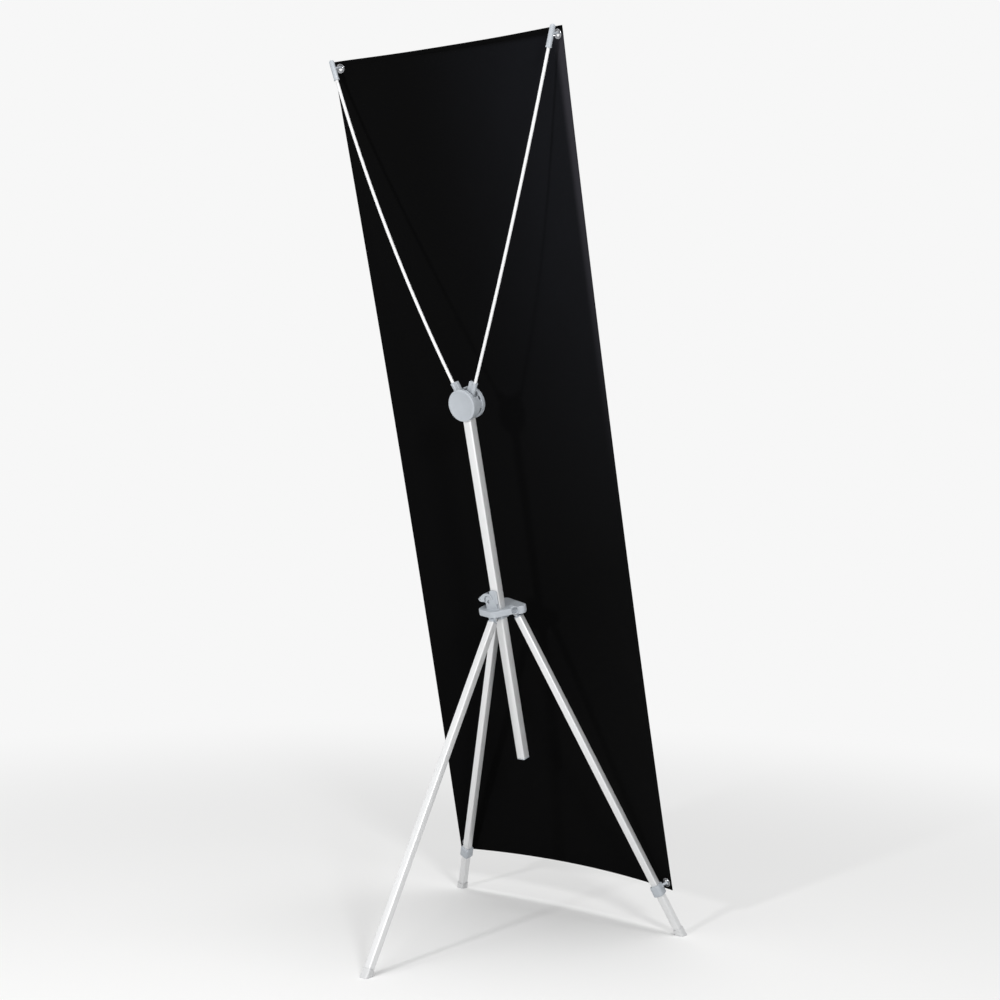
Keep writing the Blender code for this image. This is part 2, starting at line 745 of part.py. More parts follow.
def make_mast(metal, plastic, parent):
    """The square tube and the plug in its lower end."""
    top = HEAD_ABOVE_HUB - MAST_TOP_DROP
    outer = rounded_square(MAST_SIDE, MAST_CORNER)
    bore = MAST_SIDE - 2 * MAST_WALL
    inner = rounded_square(bore, MAST_CORNER - MAST_WALL)
    tube = shape("mast_tube", pipe(outer, inner, -MAST_BELOW_HUB, top))
    pin = HEAD_ABOVE_HUB - HEAD_PIN_DROP
    cut(tube, rod((-CUT_PAST, 0, pin), (CUT_PAST, 0, pin), HEAD_PIN_RADIUS + CLEARANCE))
    finish(tube, metal, parent)
    end = -MAST_BELOW_HUB - CLEARANCE
    plug = shape("mast_plug", prism(outer, end - MAST_PLUG_HEAD, end, MAST_PLUG_EDGE))
    tongue = rounded_square(bore - 2 * CLEARANCE, MAST_CORNER - MAST_WALL)
    join(plug, prism(tongue, end - MAST_PLUG_HEAD / 2, end + MAST_PLUG_TONGUE))
    finish(plug, plastic, parent)


def make_cover(name, way, surface, parent):
    """One round cover of the head: a dish with a stepped face, bosses for the pins and posts for screws."""
    near = MAST_SIDE / 2 + CLEARANCE
    far = near + COVER_THICKNESS
    step = HEAD_RADIUS - COVER_STEP_IN
    profile = [
        (0, far - COVER_STEP),
        (step, far - COVER_STEP),
        (step + COVER_STEP_SLOPE, far),
        (HEAD_RADIUS - COVER_EDGE, far),
        (HEAD_RADIUS, far - COVER_EDGE),
        (HEAD_RADIUS, near),
        (HEAD_RADIUS - COVER_RIM, near),
        (HEAD_RADIUS - COVER_RIM, far - COVER_FACE),
        (0, far - COVER_FACE),
    ]
    cover = shape(name, turned(profile, 2 * ROUND_STEPS))
    for side in SIDES.values():
        boss = circle(side * ARM_PIN_OUT, ARM_PIN_UP, ARM_PIN_RADIUS + COVER_BOSS_WALL, SMALL_ROUND_STEPS)
        join(cover, prism(boss, near, far - COVER_FACE / 2))
    for x, y in HEAD_SCREW_PLACES:
        post = circle(x, y, SCREW_POST_RADIUS, SMALL_ROUND_STEPS)
        join(cover, prism(post, near, far - COVER_FACE / 2))
    for side in SIDES.values():
        bore = circle(side * ARM_PIN_OUT, ARM_PIN_UP, ARM_PIN_RADIUS + CLEARANCE, SMALL_ROUND_STEPS)
        cut(cover, prism(bore, near - OVERLAP, near + COVER_BOSS_DEPTH))
    for x, y in HEAD_SCREW_PLACES:
        bore = circle(x, y, HEAD_SCREW_RADIUS + CLEARANCE, SMALL_ROUND_STEPS)
        end = far + OVERLAP if way < 0 else near + SCREW_POST_DEPTH
        cut(cover, prism(bore, near - OVERLAP, end))
    outward = facing((0, way, 0), (1, 0, 0))
    cover.data.transform(Matrix.Scale(-way, 4, (0, 1, 0)))
    if way > 0:
        cover.data.flip_normals()
    cover.data.transform(outward)
    return finish(cover, surface, parent, Matrix.Translation((0, 0, HEAD_ABOVE_HUB)))


def make_head(plastic, steel, parent):
    """The core that sits on the mast, its two covers and their fasteners."""
    half = MAST_SIDE / 2
    core = shape("head_core", prism(circle(0, 0, CORE_RADIUS, 2 * ROUND_STEPS), -half, half))
    past = CORE_RADIUS + CUT_PAST
    cut(core, prism(box_outline(-past, past, CORE_TOP, past), -CUT_PAST, CUT_PAST))
    slot = MAST_SIDE / 2 + CLEARANCE
    cut(core, prism(box_outline(-slot, slot, -past, CLEARANCE - MAST_TOP_DROP), -CUT_PAST, CUT_PAST))
    for side in SIDES.values():
        eye = circle(side * ARM_PIN_OUT, ARM_PIN_UP, ARM_EYE_RADIUS + CORE_EYE_ROOM)
        cut(core, prism(eye, -CUT_PAST, CUT_PAST))
        for angle, reach in CORE_NOTCHES:
            notch = prism(box_outline(CORE_NOTCH_INNER, past, -reach, reach), CORE_NOTCH_START, CUT_PAST)
            aim = angle if side > 0 else math.pi - angle
            cut(core, moved(notch, Matrix.Rotation(aim, 4, "Z")))
    for x, y in HEAD_SCREW_PLACES:
        bore = circle(x, y, HEAD_SCREW_RADIUS + CLEARANCE, SMALL_ROUND_STEPS)
        cut(core, prism(bore, -CUT_PAST, CUT_PAST))
    core.data.transform(ALONG_Y)
    pin_end = Vector((MAST_SIDE / 2 + HEAD_PIN_PAST_MAST, 0, 0))
    pin_at = Vector((0, 0, -HEAD_PIN_DROP))
    bore_end = pin_end + Vector((CLEARANCE, 0, 0))
    cut(core, rod(pin_at - bore_end, pin_at + bore_end, HEAD_PIN_RADIUS + CLEARANCE))
    here = Matrix.Translation((0, 0, HEAD_ABOVE_HUB))
    finish(core, plastic, parent, here)
    make_cover("head_rear_cover", 1, plastic, parent)
    make_cover("head_front_cover", -1, plastic, parent)
    cross = rod(pin_at - pin_end, pin_at + pin_end, HEAD_PIN_RADIUS)
    finish(shape("mast_cross_pin", cross), steel, parent, here)
    front = MAST_SIDE / 2 + CLEARANCE + COVER_THICKNESS
    for count, (x, y) in enumerate(HEAD_SCREW_PLACES, 1):
        end = -half - HEAD_SCREW_PAST_CORE
        neck = front + CLEARANCE
        top = neck + HEAD_SCREW_HEAD_HEIGHT
        profile = [(0, end), (HEAD_SCREW_RADIUS, end), (HEAD_SCREW_RADIUS, neck)]
        profile += [(HEAD_SCREW_HEAD, neck), (HEAD_SCREW_HEAD_TOP, top), (0, top)]
        screw = moved(turned(profile, SMALL_ROUND_STEPS), ALONG_Y @ Matrix.Translation((x, y, 0)))
        finish(shape(f"head_screw_{count}", screw), steel, parent, here)
    for name, side in SIDES.items():
        reach = MAST_SIDE / 2 + ARM_PIN_PAST_CORE
        pin = rod((0, -reach, 0), (0, reach, 0), ARM_PIN_RADIUS, SMALL_ROUND_STEPS)
        finish(shape(f"arm_pin_{name}", pin), steel, parent, Matrix.Translation(ARM_PINS[side]))


# The arms


def make_arm(name, side, surfaces, parent):
    """A socket, its bowed rod, the tip cap with its hook and the eyelet that hangs on it."""
    joint = frame(f"arm_joint_{name}", parent, Matrix.Translation(ARM_PINS[side]))
    base = arm_base(side)
    start, handle, end = rod_curve(side, ROD_SPREAD, ROD_RISE)
    out = (end - handle).normalized()

    knuckle = circle(0, 0, ARM_EYE_RADIUS)
    half = ARM_EYE_WIDTH / 2
    socket = shape(f"arm_socket_{name}", moved(prism(knuckle, -half, half, ARM_EDGE), ALONG_Y))
    join(socket, rod(base * ARM_SLEEVE_START, start, ARM_SLEEVE_RADIUS, ROUND_STEPS))
    across = base.cross(Vector((0, 1, 0))).normalized() * side
    tab_low = ARM_SLEEVE_RADIUS / 2
    tab_high = ARM_SLEEVE_RADIUS + ARM_TAB_WIDTH
    outline = box_outline(tab_low, tab_high, ARM_TAB_START, ARM_SLEEVE_END + ARM_TAB_EXTRA)
    tab = prism(outline, -ARM_TAB_THICKNESS / 2, ARM_TAB_THICKNESS / 2, ARM_EDGE)
    lay = Matrix((across, base, across.cross(base))).transposed().to_4x4()
    join(socket, moved(tab, lay))
    bore_end = ARM_SLEEVE_END - ROD_IN_SOCKET - OVERLAP
    cut(socket, rod(base * bore_end, base * (ARM_SLEEVE_END + CUT_PAST), ROD_RADIUS + CLEARANCE))
    cut(socket, rod((0, -CUT_PAST, 0), (0, CUT_PAST, 0), ARM_PIN_RADIUS + CLEARANCE))
    finish(socket, surfaces["plastic"], joint)

    points = [base * (ARM_SLEEVE_END - ROD_IN_SOCKET)]
    for step in range(ROD_STEPS + 1):
        u = step / ROD_STEPS
        points.append(start * (1 - u) ** 2 + handle * (2 * u * (1 - u)) + end * u**2)
    points.append(end + out * ROD_IN_CAP)
    curve = bpy.data.curves.new(f"arm_rod_{name}", "CURVE")
    curve.dimensions = "3D"
    curve.bevel_depth = ROD_RADIUS
    curve.bevel_resolution = 3
    curve.use_fill_caps = True
    line = curve.splines.new("POLY")
    line.points.add(len(points) - 1)
    for spot, point in zip(line.points, points):
        spot.co = (*point, 1)
    made = bpy.data.objects.new(f"arm_rod_{name}", curve)
    bpy.context.scene.collection.objects.link(made)
    curve.materials.append(surfaces["rod"])
    made.parent = joint

    lip = CAP_RADIUS + CAP_LIP
    bore = ROD_RADIUS + CLEARANCE
    deep = ROD_IN_CAP + CLEARANCE
    profile = [(0, deep), (bore, deep), (bore, 0), (lip, 0), (lip, CAP_LIP_HEIGHT)]
    profile.append((CAP_RADIUS, CAP_LIP_HEIGHT + CAP_LIP))
    for turn in arc(0, 72, 4):
        height = CAP_LENGTH - CAP_DOME * (1 - math.sin(turn))
        profile.append((CAP_RADIUS * math.cos(turn), height))
    profile.append((0, CAP_LENGTH))
    cap = shape(f"arm_tip_{name}", moved(turned(profile), Matrix.Translation(end) @ facing(out)))
    root = hook_root(side, ROD_SPREAD, ROD_RISE)
    hole = root + Vector((0, -HOOK_REACH, 0))
    far = hole + Vector((0, -HOOK_PAST_EYELET, 0))
    join(cap, rod(root - Vector((0, HOOK_IN_CAP, 0)), far, HOOK_RADIUS))
    tip_start = far + HOOK_TIP_START
    join(cap, rod(tip_start, tip_start + HOOK_TIP_RISE, HOOK_TIP_RADIUS))
    finish(cap, surfaces["plastic"], joint)

    stand_to_joint = (MAST_FRAME @ Matrix.Translation(ARM_PINS[side])).inverted()
    make_eyelet(f"eyelet_top_{name}", surfaces, joint, stand_to_joint @ eyelet_frame(side, EYELET_INSET))


def make_eyelet(name, surfaces, parent, matrix):
    """A rolled metal ring with a flange on each side of the sheet."""
    gap = SHEET_THICKNESS / 2 + CLEARANCE
    neck = EYELET_BORE + EYELET_WALL
    half = [
        (EYELET_BORE, gap),
        (EYELET_BORE + EYELET_ROLL, gap + EYELET_WALL),
        (EYELET_RADIUS - EYELET_EDGE, gap + EYELET_WALL * EYELET_CROWN),
        (EYELET_RADIUS, gap),
        (neck, gap),
    ]
    profile = half + [(radius, -height) for radius, height in reversed(half)]
    finish(shape(name, turned(profile, ROUND_STEPS, ring=True)), surfaces["chrome"], parent, matrix)


# The legs and collars


def make_leg(name, metal, plastic, steel, hub, parent):
    """A leg: knuckle, square tube and foot on the leg's frame, with its pin on the hub."""
    leg = LEG_FRAMES[name]
    joint = frame(f"leg_joint_{name}", parent, leg)
    length = LEG_EYE_WIDTH + 2 * LEG_EAR_THICKNESS + 4 * CLEARANCE
    rivet(f"leg_pin_{name}", LEG_PIN_RADIUS, length, steel, hub, fork_frame(leg))

    half = LEG_EYE_WIDTH / 2
    eye = circle(0, 0, LEG_EYE_RADIUS)
    neck = hull(eye + box_outline(-LEG_EYE_RADIUS, LEG_EYE_RADIUS, -LEG_NECK - OVERLAP, 0))
    knuckle = shape(f"leg_knuckle_{name}", moved(prism(neck, -half, half, KNUCKLE_EDGE), ALONG_X))
    low = -LEG_NECK - LEG_SHOULDER
    join(knuckle, prism(rounded_square(LEG_SIDE, LEG_CORNER), low, -LEG_NECK, SHOULDER_EDGE))
    bore = LEG_SIDE - 2 * LEG_WALL
    tongue = rounded_square(bore - 2 * CLEARANCE, LEG_CORNER - LEG_WALL)
    join(knuckle, prism(tongue, low - LEG_TONGUE, low + LEG_SHOULDER / 2))
    cut(knuckle, rod((-CUT_PAST, 0, 0), (CUT_PAST, 0, 0), LEG_PIN_RADIUS + CLEARANCE))
    finish(knuckle, plastic, joint)

    outer = rounded_square(LEG_SIDE, LEG_CORNER)
    inner = rounded_square(bore, LEG_CORNER - LEG_WALL)
    reach = leg_reach(leg)
    tube_end = FOOT_TUBE_LIFT - reach
    tube = shape(f"leg_tube_{name}", pipe(outer, inner, tube_end, low - CLEARANCE))
    finish(tube, metal, joint)

    foot_low = -reach - FOOT_SIDE
    foot_top = FOOT_SLEEVE - reach
    block = prism(rounded_square(FOOT_SIDE, FOOT_CORNER), foot_low, foot_top, FOOT_EDGE)
    foot = shape(f"leg_foot_{name}", block)
    seat = rounded_square(LEG_SIDE + 2 * CLEARANCE, LEG_CORNER + CLEARANCE)
    cut(foot, prism(seat, tube_end - CLEARANCE, foot_top + CUT_PAST))
    wide = 2 * FOOT_SIDE
    floor = prism(box_outline(-wide, wide, -wide, wide), -wide, 0)
    sole = Matrix.Translation((MAST_FRAME @ leg) @ Vector((0, 0, -reach)))
    cut(foot, moved(floor, (MAST_FRAME @ leg).inverted() @ sole))
    finish(foot, plastic, joint)
    return joint


def make_collar(name, side, surfaces, joint):
    """A sleeve that slides on a front leg, with the peg that the sheet's lower eyelet hangs on."""
    leg = LEG_FRAMES[name]
    centre = PEG_UP_LEG - COLLAR_PEG_ABOVE - leg_reach(leg)
    slide = frame(f"collar_joint_{name}", joint, Matrix.Translation((0, 0, centre)))
    half = COLLAR_LENGTH / 2
    sleeve = prism(rounded_square(COLLAR_SIDE, COLLAR_CORNER), -half, half, COLLAR_EDGE)
    collar = shape(f"collar_{name}", sleeve)
    way = peg_direction(leg, side)
    root = Vector((0, 0, COLLAR_PEG_ABOVE)) + way * (LEG_SIDE / 2)
    end = Vector((0, 0, COLLAR_PEG_ABOVE)) + way * (COLLAR_PEG_REACH + PEG_PAST_EYELET)
    join(collar, rod(root, end, PEG_RADIUS))
    join(collar, moved(turned(PEG_HEAD, SMALL_ROUND_STEPS), Matrix.Translation(end) @ facing(way)))
    seat = rounded_square(LEG_SIDE + 2 * CLEARANCE, LEG_CORNER + CLEARANCE)
    cut(collar, prism(seat, -half - CUT_PAST, half + CUT_PAST))
    finish(collar, surfaces["plastic"], slide)
    down = SHEET_HEIGHT - EYELET_INSET
    to_slide = (MAST_FRAME @ leg @ Matrix.Translation((0, 0, centre))).inverted()
    make_eyelet(f"eyelet_bottom_{name}", surfaces, slide, to_slide @ eyelet_frame(side, down))


# The sheet


def sheet_stops(length, count):
    """Distances along the sheet, closer together at its two ends."""
    stops = []
    for step in range(count + 1):
        even = step / count
        stops.append(length * (even - SHEET_CROWDING * math.sin(2 * math.pi * even) / (2 * math.pi)))
    return stops


def make_sheet(surface, parent):
    """The hung sheet: a flat slab with four holes, bent to its hanging form."""
    slab = bmesh.new()
    columns = [stop - 1 for stop in sheet_stops(2, SHEET_COLUMNS)]
    rows = sheet_stops(SHEET_HEIGHT, SHEET_ROWS)
    half = SHEET_THICKNESS / 2
    layers = []
    for depth in (-half, half):
        layer = []
        for down in rows:
            half_width = sheet_width(down) / 2
            layer.append([slab.verts.new((across * half_width, down, depth)) for across in columns])
        layers.append(layer)
    for layer in layers:
        for near, far in zip(layer, layer[1:]):
            for index in range(SHEET_COLUMNS):
                slab.faces.new((near[index], near[index + 1], far[index + 1], far[index]))
    back, front = layers
    rims = [([row[0] for row in back], [row[0] for row in front])]
    rims.append(([row[-1] for row in back], [row[-1] for row in front]))
    rims.append((back[0], front[0]))
    rims.append((back[-1], front[-1]))
    for low, high in rims:
        for index in range(len(low) - 1):
            slab.faces.new((low[index], low[index + 1], high[index + 1], high[index]))
    bmesh.ops.recalc_face_normals(slab, faces=slab.faces)
    sheet = shape("banner_sheet", slab)
    hole = EYELET_BORE + EYELET_WALL + CLEARANCE
    for down in (EYELET_INSET, SHEET_HEIGHT - EYELET_INSET):
        for side in SIDES.values():
            x = side * (sheet_width(down) / 2 - EYELET_INSET)
            cut(sheet, prism(circle(x, down, hole), -CUT_PAST, CUT_PAST))
    mesh = bmesh.new()
    mesh.from_mesh(sheet.data)
    bmesh.ops.triangulate(mesh, faces=mesh.faces)
    for vertex in mesh.verts:
        across = vertex.co.x / (sheet_width(vertex.co.y) / 2)
        place, normal = sheet_point(across, vertex.co.y)
        vertex.co = place + normal * vertex.co.z
    bmesh.ops.recalc_face_normals(mesh, faces=mesh.faces)
    mesh.to_mesh(sheet.data)
    mesh.free()
    finish(sheet, surface, parent)


# The whole stand


def centre_on_floor(stand):
    """Slides the stand in Y until the middle of its box is over the origin."""
    bpy.context.view_layer.update()
    seen = bpy.context.evaluated_depsgraph_get()
    reach = []
    for made in bpy.context.scene.objects:
        if made.type != "EMPTY":
            solid = made.evaluated_get(seen)
            reach += [(made.matrix_world @ vertex.co).y for vertex in solid.to_mesh().vertices]
            solid.to_mesh_clear()
    stand.location.y = -(min(reach) + max(reach)) / 2
    bpy.context.view_layer.update()


def build():
    """Makes every piece of the stand."""
    for old in list(bpy.data.objects):
        bpy.data.objects.remove(old, do_unlink=True)
    plastic = material("grey_plastic", (0.47, 0.50, 0.55), 0.45, 0.0)
    metal = material("satin_aluminium", (0.72, 0.73, 0.74), 0.35, 1.0)
    white = material("white_rod", (0.90, 0.90, 0.90), 0.30, 0.0)
    steel = material("zinc_steel", (0.60, 0.61, 0.62), 0.35, 1.0)
    chrome = material("bright_eyelet", (0.82, 0.83, 0.85), 0.15, 1.0)
    rubber = material("dark_rubber", (0.04, 0.04, 0.045), 0.8, 0.0)
    cloth = material("black_sheet", (0.008, 0.008, 0.009), 0.6, 0.0)
    surfaces = {"plastic": plastic, "rod": white, "chrome": chrome}

    stand = frame("stand", None, FLAT)
    mast_frame = frame("mast_line", stand, MAST_FRAME)
    make_hub(plastic, mast_frame)
    make_clamp(plastic, steel, rubber, mast_frame, mast_frame)
    make_mast(metal, plastic, mast_frame)
    make_head(plastic, steel, mast_frame)
    for name, side in SIDES.items():
        make_arm(name, side, surfaces, mast_frame)
    make_leg("rear", metal, plastic, steel, mast_frame, mast_frame)
    for name, side in SIDES.items():
        joint = make_leg(name, metal, plastic, steel, mast_frame, mast_frame)
        make_collar(name, side, surfaces, joint)
    make_sheet(cloth, stand)
    centre_on_floor(stand)


build()
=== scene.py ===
"""The looks of a tripod banner stand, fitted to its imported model.

Units are metres. The stand is seen from behind: its rear leg points to +Y and its sheet faces -Y. Left is -X.
"""

import json
import math

import bmesh
import bpy
from mathutils import Matrix, Vector
from mathutils.geometry import convex_hull_2d


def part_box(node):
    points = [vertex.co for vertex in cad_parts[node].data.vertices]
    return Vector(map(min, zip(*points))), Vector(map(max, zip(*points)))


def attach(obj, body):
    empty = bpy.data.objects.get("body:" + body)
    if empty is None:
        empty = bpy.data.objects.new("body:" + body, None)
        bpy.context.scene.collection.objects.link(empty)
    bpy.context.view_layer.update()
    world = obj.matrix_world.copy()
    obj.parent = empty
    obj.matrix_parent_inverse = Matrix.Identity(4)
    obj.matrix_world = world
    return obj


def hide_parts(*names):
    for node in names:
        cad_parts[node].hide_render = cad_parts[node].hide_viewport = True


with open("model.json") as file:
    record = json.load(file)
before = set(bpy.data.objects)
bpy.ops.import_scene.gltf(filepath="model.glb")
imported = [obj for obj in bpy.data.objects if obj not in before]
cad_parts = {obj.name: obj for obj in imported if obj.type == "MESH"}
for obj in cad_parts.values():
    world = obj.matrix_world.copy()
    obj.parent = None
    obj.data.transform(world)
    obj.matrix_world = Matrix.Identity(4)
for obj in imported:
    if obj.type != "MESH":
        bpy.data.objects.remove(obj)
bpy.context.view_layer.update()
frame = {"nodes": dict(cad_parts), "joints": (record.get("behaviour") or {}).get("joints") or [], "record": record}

sides = {"left": -1, "right": 1}


# The mast is a square tube of anodised aluminium that leans to the rear. It slides in the hub and carries
# the head. Its walls are extruded, so fine streaks run along it, and its ends are sawn and lightly broken.

hinges = {joint["name"]: joint for joint in frame["joints"]}
soles = {mount["name"]: Vector(mount["pos_m"]) for mount in frame["record"]["mounts"]}
gap = 0.0003
hub_top = 0.007
clamp_pin = Vector((0.018, 0, hub_top + 0.0145))
mast_up = Vector(hinges["mast_slide"]["axis"])
mast_turn = Matrix((Vector((1, 0, 0)), mast_up.cross(Vector((1, 0, 0))), mast_up)).transposed()
hub_centre = Vector(hinges["clamp_lever_turn"]["pos_m"]) - mast_turn @ clamp_pin
mast_place = Matrix.Translation(hub_centre) @ mast_turn.to_4x4()

mast_side = 0.020
mast_corner = 0.003
tube_wall = 0.0012
mast_low = -0.335
head_height = 0.4503
mast_below_head = 0.0023
mast_high = head_height - mast_below_head


def only(piece):
    """Makes this piece the one that is selected and active."""
    bpy.ops.object.select_all(action="DESELECT")
    piece.select_set(True)
    bpy.context.view_layer.objects.active = piece


def named(name):
    """Names the object that was just added, with its scale and turn applied."""
    piece = bpy.context.object
    piece.name = name
    piece.data.name = name
    only(piece)
    bpy.ops.object.transform_apply(location=True, rotation=True, scale=True)
    return piece


def block(name, low, high):
    """A box between two corners."""
    low = Vector(low)
    high = Vector(high)
    bpy.ops.object.select_all(action="DESELECT")
    bpy.ops.mesh.primitive_cube_add(size=1, location=(low + high) / 2, scale=high - low)
    return named(name)


def pick(piece, kind, wanted):
    """Opens a piece for editing, with the faces or edges selected that pass a test."""
    only(piece)
    bpy.ops.object.mode_set(mode="EDIT")
    bpy.ops.mesh.select_mode(type="FACE" if kind == "faces" else "EDGE")
    bpy.ops.mesh.select_all(action="DESELECT")
    cage = bmesh.from_edit_mesh(piece.data)
    for element in getattr(cage, kind):
        if wanted(element):
            element.select_set(True)
    cage.select_flush_mode()
    bmesh.update_edit_mesh(piece.data)


def close():
    """Leaves edit mode."""
    bpy.ops.object.mode_set(mode="OBJECT")


def shaped(piece, kind, **settings):
    """Adds a modifier with those settings and applies it."""
    only(piece)
    step = piece.modifiers.new("step", kind)
    for setting, value in settings.items():
        setattr(step, setting, value)
    bpy.ops.object.modifier_apply(modifier="step")
    return piece


def shaded(piece, angle=35):
    """Smooths the shading over every edge that is blunter than an angle."""
    only(piece)
    bpy.ops.object.shade_smooth_by_angle(angle=math.radians(angle))
    return piece


def softened(piece, width, segments=3, angle=40):
    """Rounds every edge that is sharper than an angle, and smooths the shading."""
    limit = math.radians(angle)
    shaped(piece, "BEVEL", width=width, segments=segments, limit_method="ANGLE", angle_limit=limit)
    return shaded(piece)


def runs_along_z(edge):
    """Whether an edge runs up or down."""
    way = edge.verts[1].co - edge.verts[0].co
    return abs(way.normalized().z) > 0.99


def square_bar(name, side, corner, low, high):
    """A square bar along Z with rounded corners."""
    bar = block(name, (-side / 2, -side / 2, low), (side / 2, side / 2, high))
    pick(bar, "edges", runs_along_z)
    bpy.ops.mesh.bevel(offset=corner, segments=6, affect="EDGES")
    close()
    return bar


def square_tube(name, side, corner, low, high):
    """A square tube along Z, open at both ends."""
    tube = square_bar(name, side, corner, low, high)
    pick(tube, "faces", lambda face: abs(face.normal.z) > 0.9)
    bpy.ops.mesh.delete(type="FACE")
    close()
    shaped(tube, "SOLIDIFY", thickness=tube_wall, offset=-1)
    return softened(tube, 0.00018, 2, 60)


def fitted(piece, place, body, slot, material, *nodes):
    """Puts a finished piece in its place in the stand, in its finish, for the nodes that it stands for.

    Each point first stores where it lies in the piece's own frame, for streaks that run along the piece.
    """
    layer = piece.data.attributes.new("grain", "FLOAT_VECTOR", "POINT")
    for vertex, value in zip(piece.data.vertices, layer.data):
        value.vector = vertex.co
    only(piece)
    piece.matrix_world = place
    bpy.ops.object.transform_apply(location=True, rotation=True, scale=True)
    piece.data.materials.clear()
    piece.data.materials.append(material)
    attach(piece, body)
    if nodes:
        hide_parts(*nodes)
    return piece


class Link:
    """An output of a shader node. Sums and products of links add the nodes that work them out."""

    def __init__(self, tree, socket=None):
        self.tree = tree
        self.socket = socket

    def node(self, kind, settings=None, inputs=None, output=0):
        """Adds a node, with its settings first and then the values or links of its inputs."""
        made = self.tree.nodes.new(kind)
        for name, value in (settings or {}).items():
            setattr(made, name, value)
        for key, value in (inputs or {}).items():
            if isinstance(value, Link):
                self.tree.links.new(value.socket, made.inputs[key])
            else:
                made.inputs[key].default_value = value
        if made.outputs:
            return Link(self.tree, made.outputs[output])

    def maths(self, operation, *values):
        """A Math node of that operation."""
        return self.node("ShaderNodeMath", {"operation": operation}, dict(enumerate(values)))

    def __add__(self, other):
        return self.maths("ADD", self, other)

    def __mul__(self, other):
        return self.maths("MULTIPLY", self, other)

    def noise(self, scale, detail=2.0, roughness=0.5):
        """Cloudy noise at this place, with that many blotches to the metre."""
        inputs = {"Vector": self, "Scale": scale, "Detail": detail, "Roughness": roughness}
        return self.node("ShaderNodeTexNoise", None, inputs)

    def mixed(self, low, high):
        """A colour between two, by this link's number. The first may be a link too."""
        inputs = {0: self, 6: low if isinstance(low, Link) else (*low, 1), 7: (*high, 1)}
        return self.node("ShaderNodeMix", {"data_type": "RGBA"}, inputs, 2)

    def stretched(self, scale):
        """This place, scaled unevenly."""
        return self.node("ShaderNodeVectorMath", {"operation": "MULTIPLY"}, {0: self, 1: scale})


def finish(name, colour, roughness, metallic=0.0, specular=0.5):
    """A material with steady values, its shader, and a link to start its nodes from."""
    made = bpy.data.materials.new(name)
    made.use_nodes = True
    shader = made.node_tree.nodes["Principled BSDF"]
    shader.inputs["Base Color"].default_value = (*colour, 1)
    shader.inputs["Roughness"].default_value = roughness
    shader.inputs["Metallic"].default_value = metallic
    shader.inputs["Specular IOR Level"].default_value = specular
    made.diffuse_color = (*colour, 1)
    return made, shader, Link(made.node_tree)


def drive(shader, socket, link):
    """Feeds a shader's socket from a link."""
    link.tree.links.new(link.socket, shader.inputs[socket])


def bumped(shader, height, strength, distance):
    """Raises the surface by a link's height."""
    inputs = {"Height": height, "Strength": strength, "Distance": distance}
    drive(shader, "Normal", height.node("ShaderNodeBump", None, inputs))


aluminium, shader, start = finish("satin_aluminium", (0.76, 0.765, 0.77), 0.42, 0.38)
grain = start.node("ShaderNodeAttribute", {"attribute_name": "grain"}, output=1)
streaks = grain.stretched((1500, 1500, 9)).noise(1, 3, 0.6)
clouds = grain.noise(60)
drive(shader, "Base Color", (streaks * 0.6 + clouds * 0.4).mixed((0.69, 0.695, 0.70), (0.79, 0.795, 0.80)))
drive(shader, "Roughness", streaks * 0.16 + clouds * 0.08 + 0.30)
bumped(shader, streaks, 0.06, 0.0004)

mast = square_tube("mast_square_tube", mast_side, mast_corner, mast_low, mast_high)
fitted(mast, mast_place, "mast", "satin_aluminium", aluminium, "mast_tube")


# A moulded plug closes the mast's lower end: a tongue pushed into the bore over a thin square cap.
# All mouldings of the stand but the feet are one blue-grey plastic with a fine spark-eroded texture.

plug_cap = 0.0025
plug_tongue = 0.016
plug_edge = 0.0007

plastic, shader, start = finish("grey_plastic", (0.42, 0.45, 0.485), 0.42)
place = start.node("ShaderNodeTexCoord", output=3)
sparks = place.noise(3200)
flow = place.noise(45, 3)
drive(shader, "Base Color", (flow * 0.7 + sparks * 0.3).mixed((0.39, 0.42, 0.455), (0.45, 0.48, 0.515)))
drive(shader, "Roughness", sparks * 0.10 + flow * 0.08 + 0.33)
bumped(shader, sparks, 0.10, 0.0002)


def merged(piece, *tools, operation="UNION"):
    """Joins solids to a piece, or cuts them out of it."""
    for tool in tools:
        shaped(piece, "BOOLEAN", operation=operation, solver="EXACT", object=tool)
        bpy.data.objects.remove(tool, do_unlink=True)
    return piece


def carved(piece, *tools):
    """Cuts solids out of a piece."""
    return merged(piece, *tools, operation="DIFFERENCE")


plug_bore = mast_side - 2 * tube_wall - 2 * gap
cap_high = mast_low - gap
plug = softened(square_bar("mast_end_plug", mast_side, mast_corner, cap_high - plug_cap, cap_high), plug_edge)
inner_corner = mast_corner - tube_wall
merged(plug, square_bar("tongue", plug_bore, inner_corner, cap_high - plug_cap / 2, cap_high + plug_tongue))
fitted(plug, mast_place, "mast", "grey_plastic", plastic, "mast_plug")


# The hub is one moulding: a lobed plate with a sleeve round the mast, two cheeks that guide the mast, two
# ears that hold the clamp, and a fork under the plate for each leg. Its left lobe has a short skirt round the
# fork, and a round barrel opens in the wall between that lobe and the rear one.

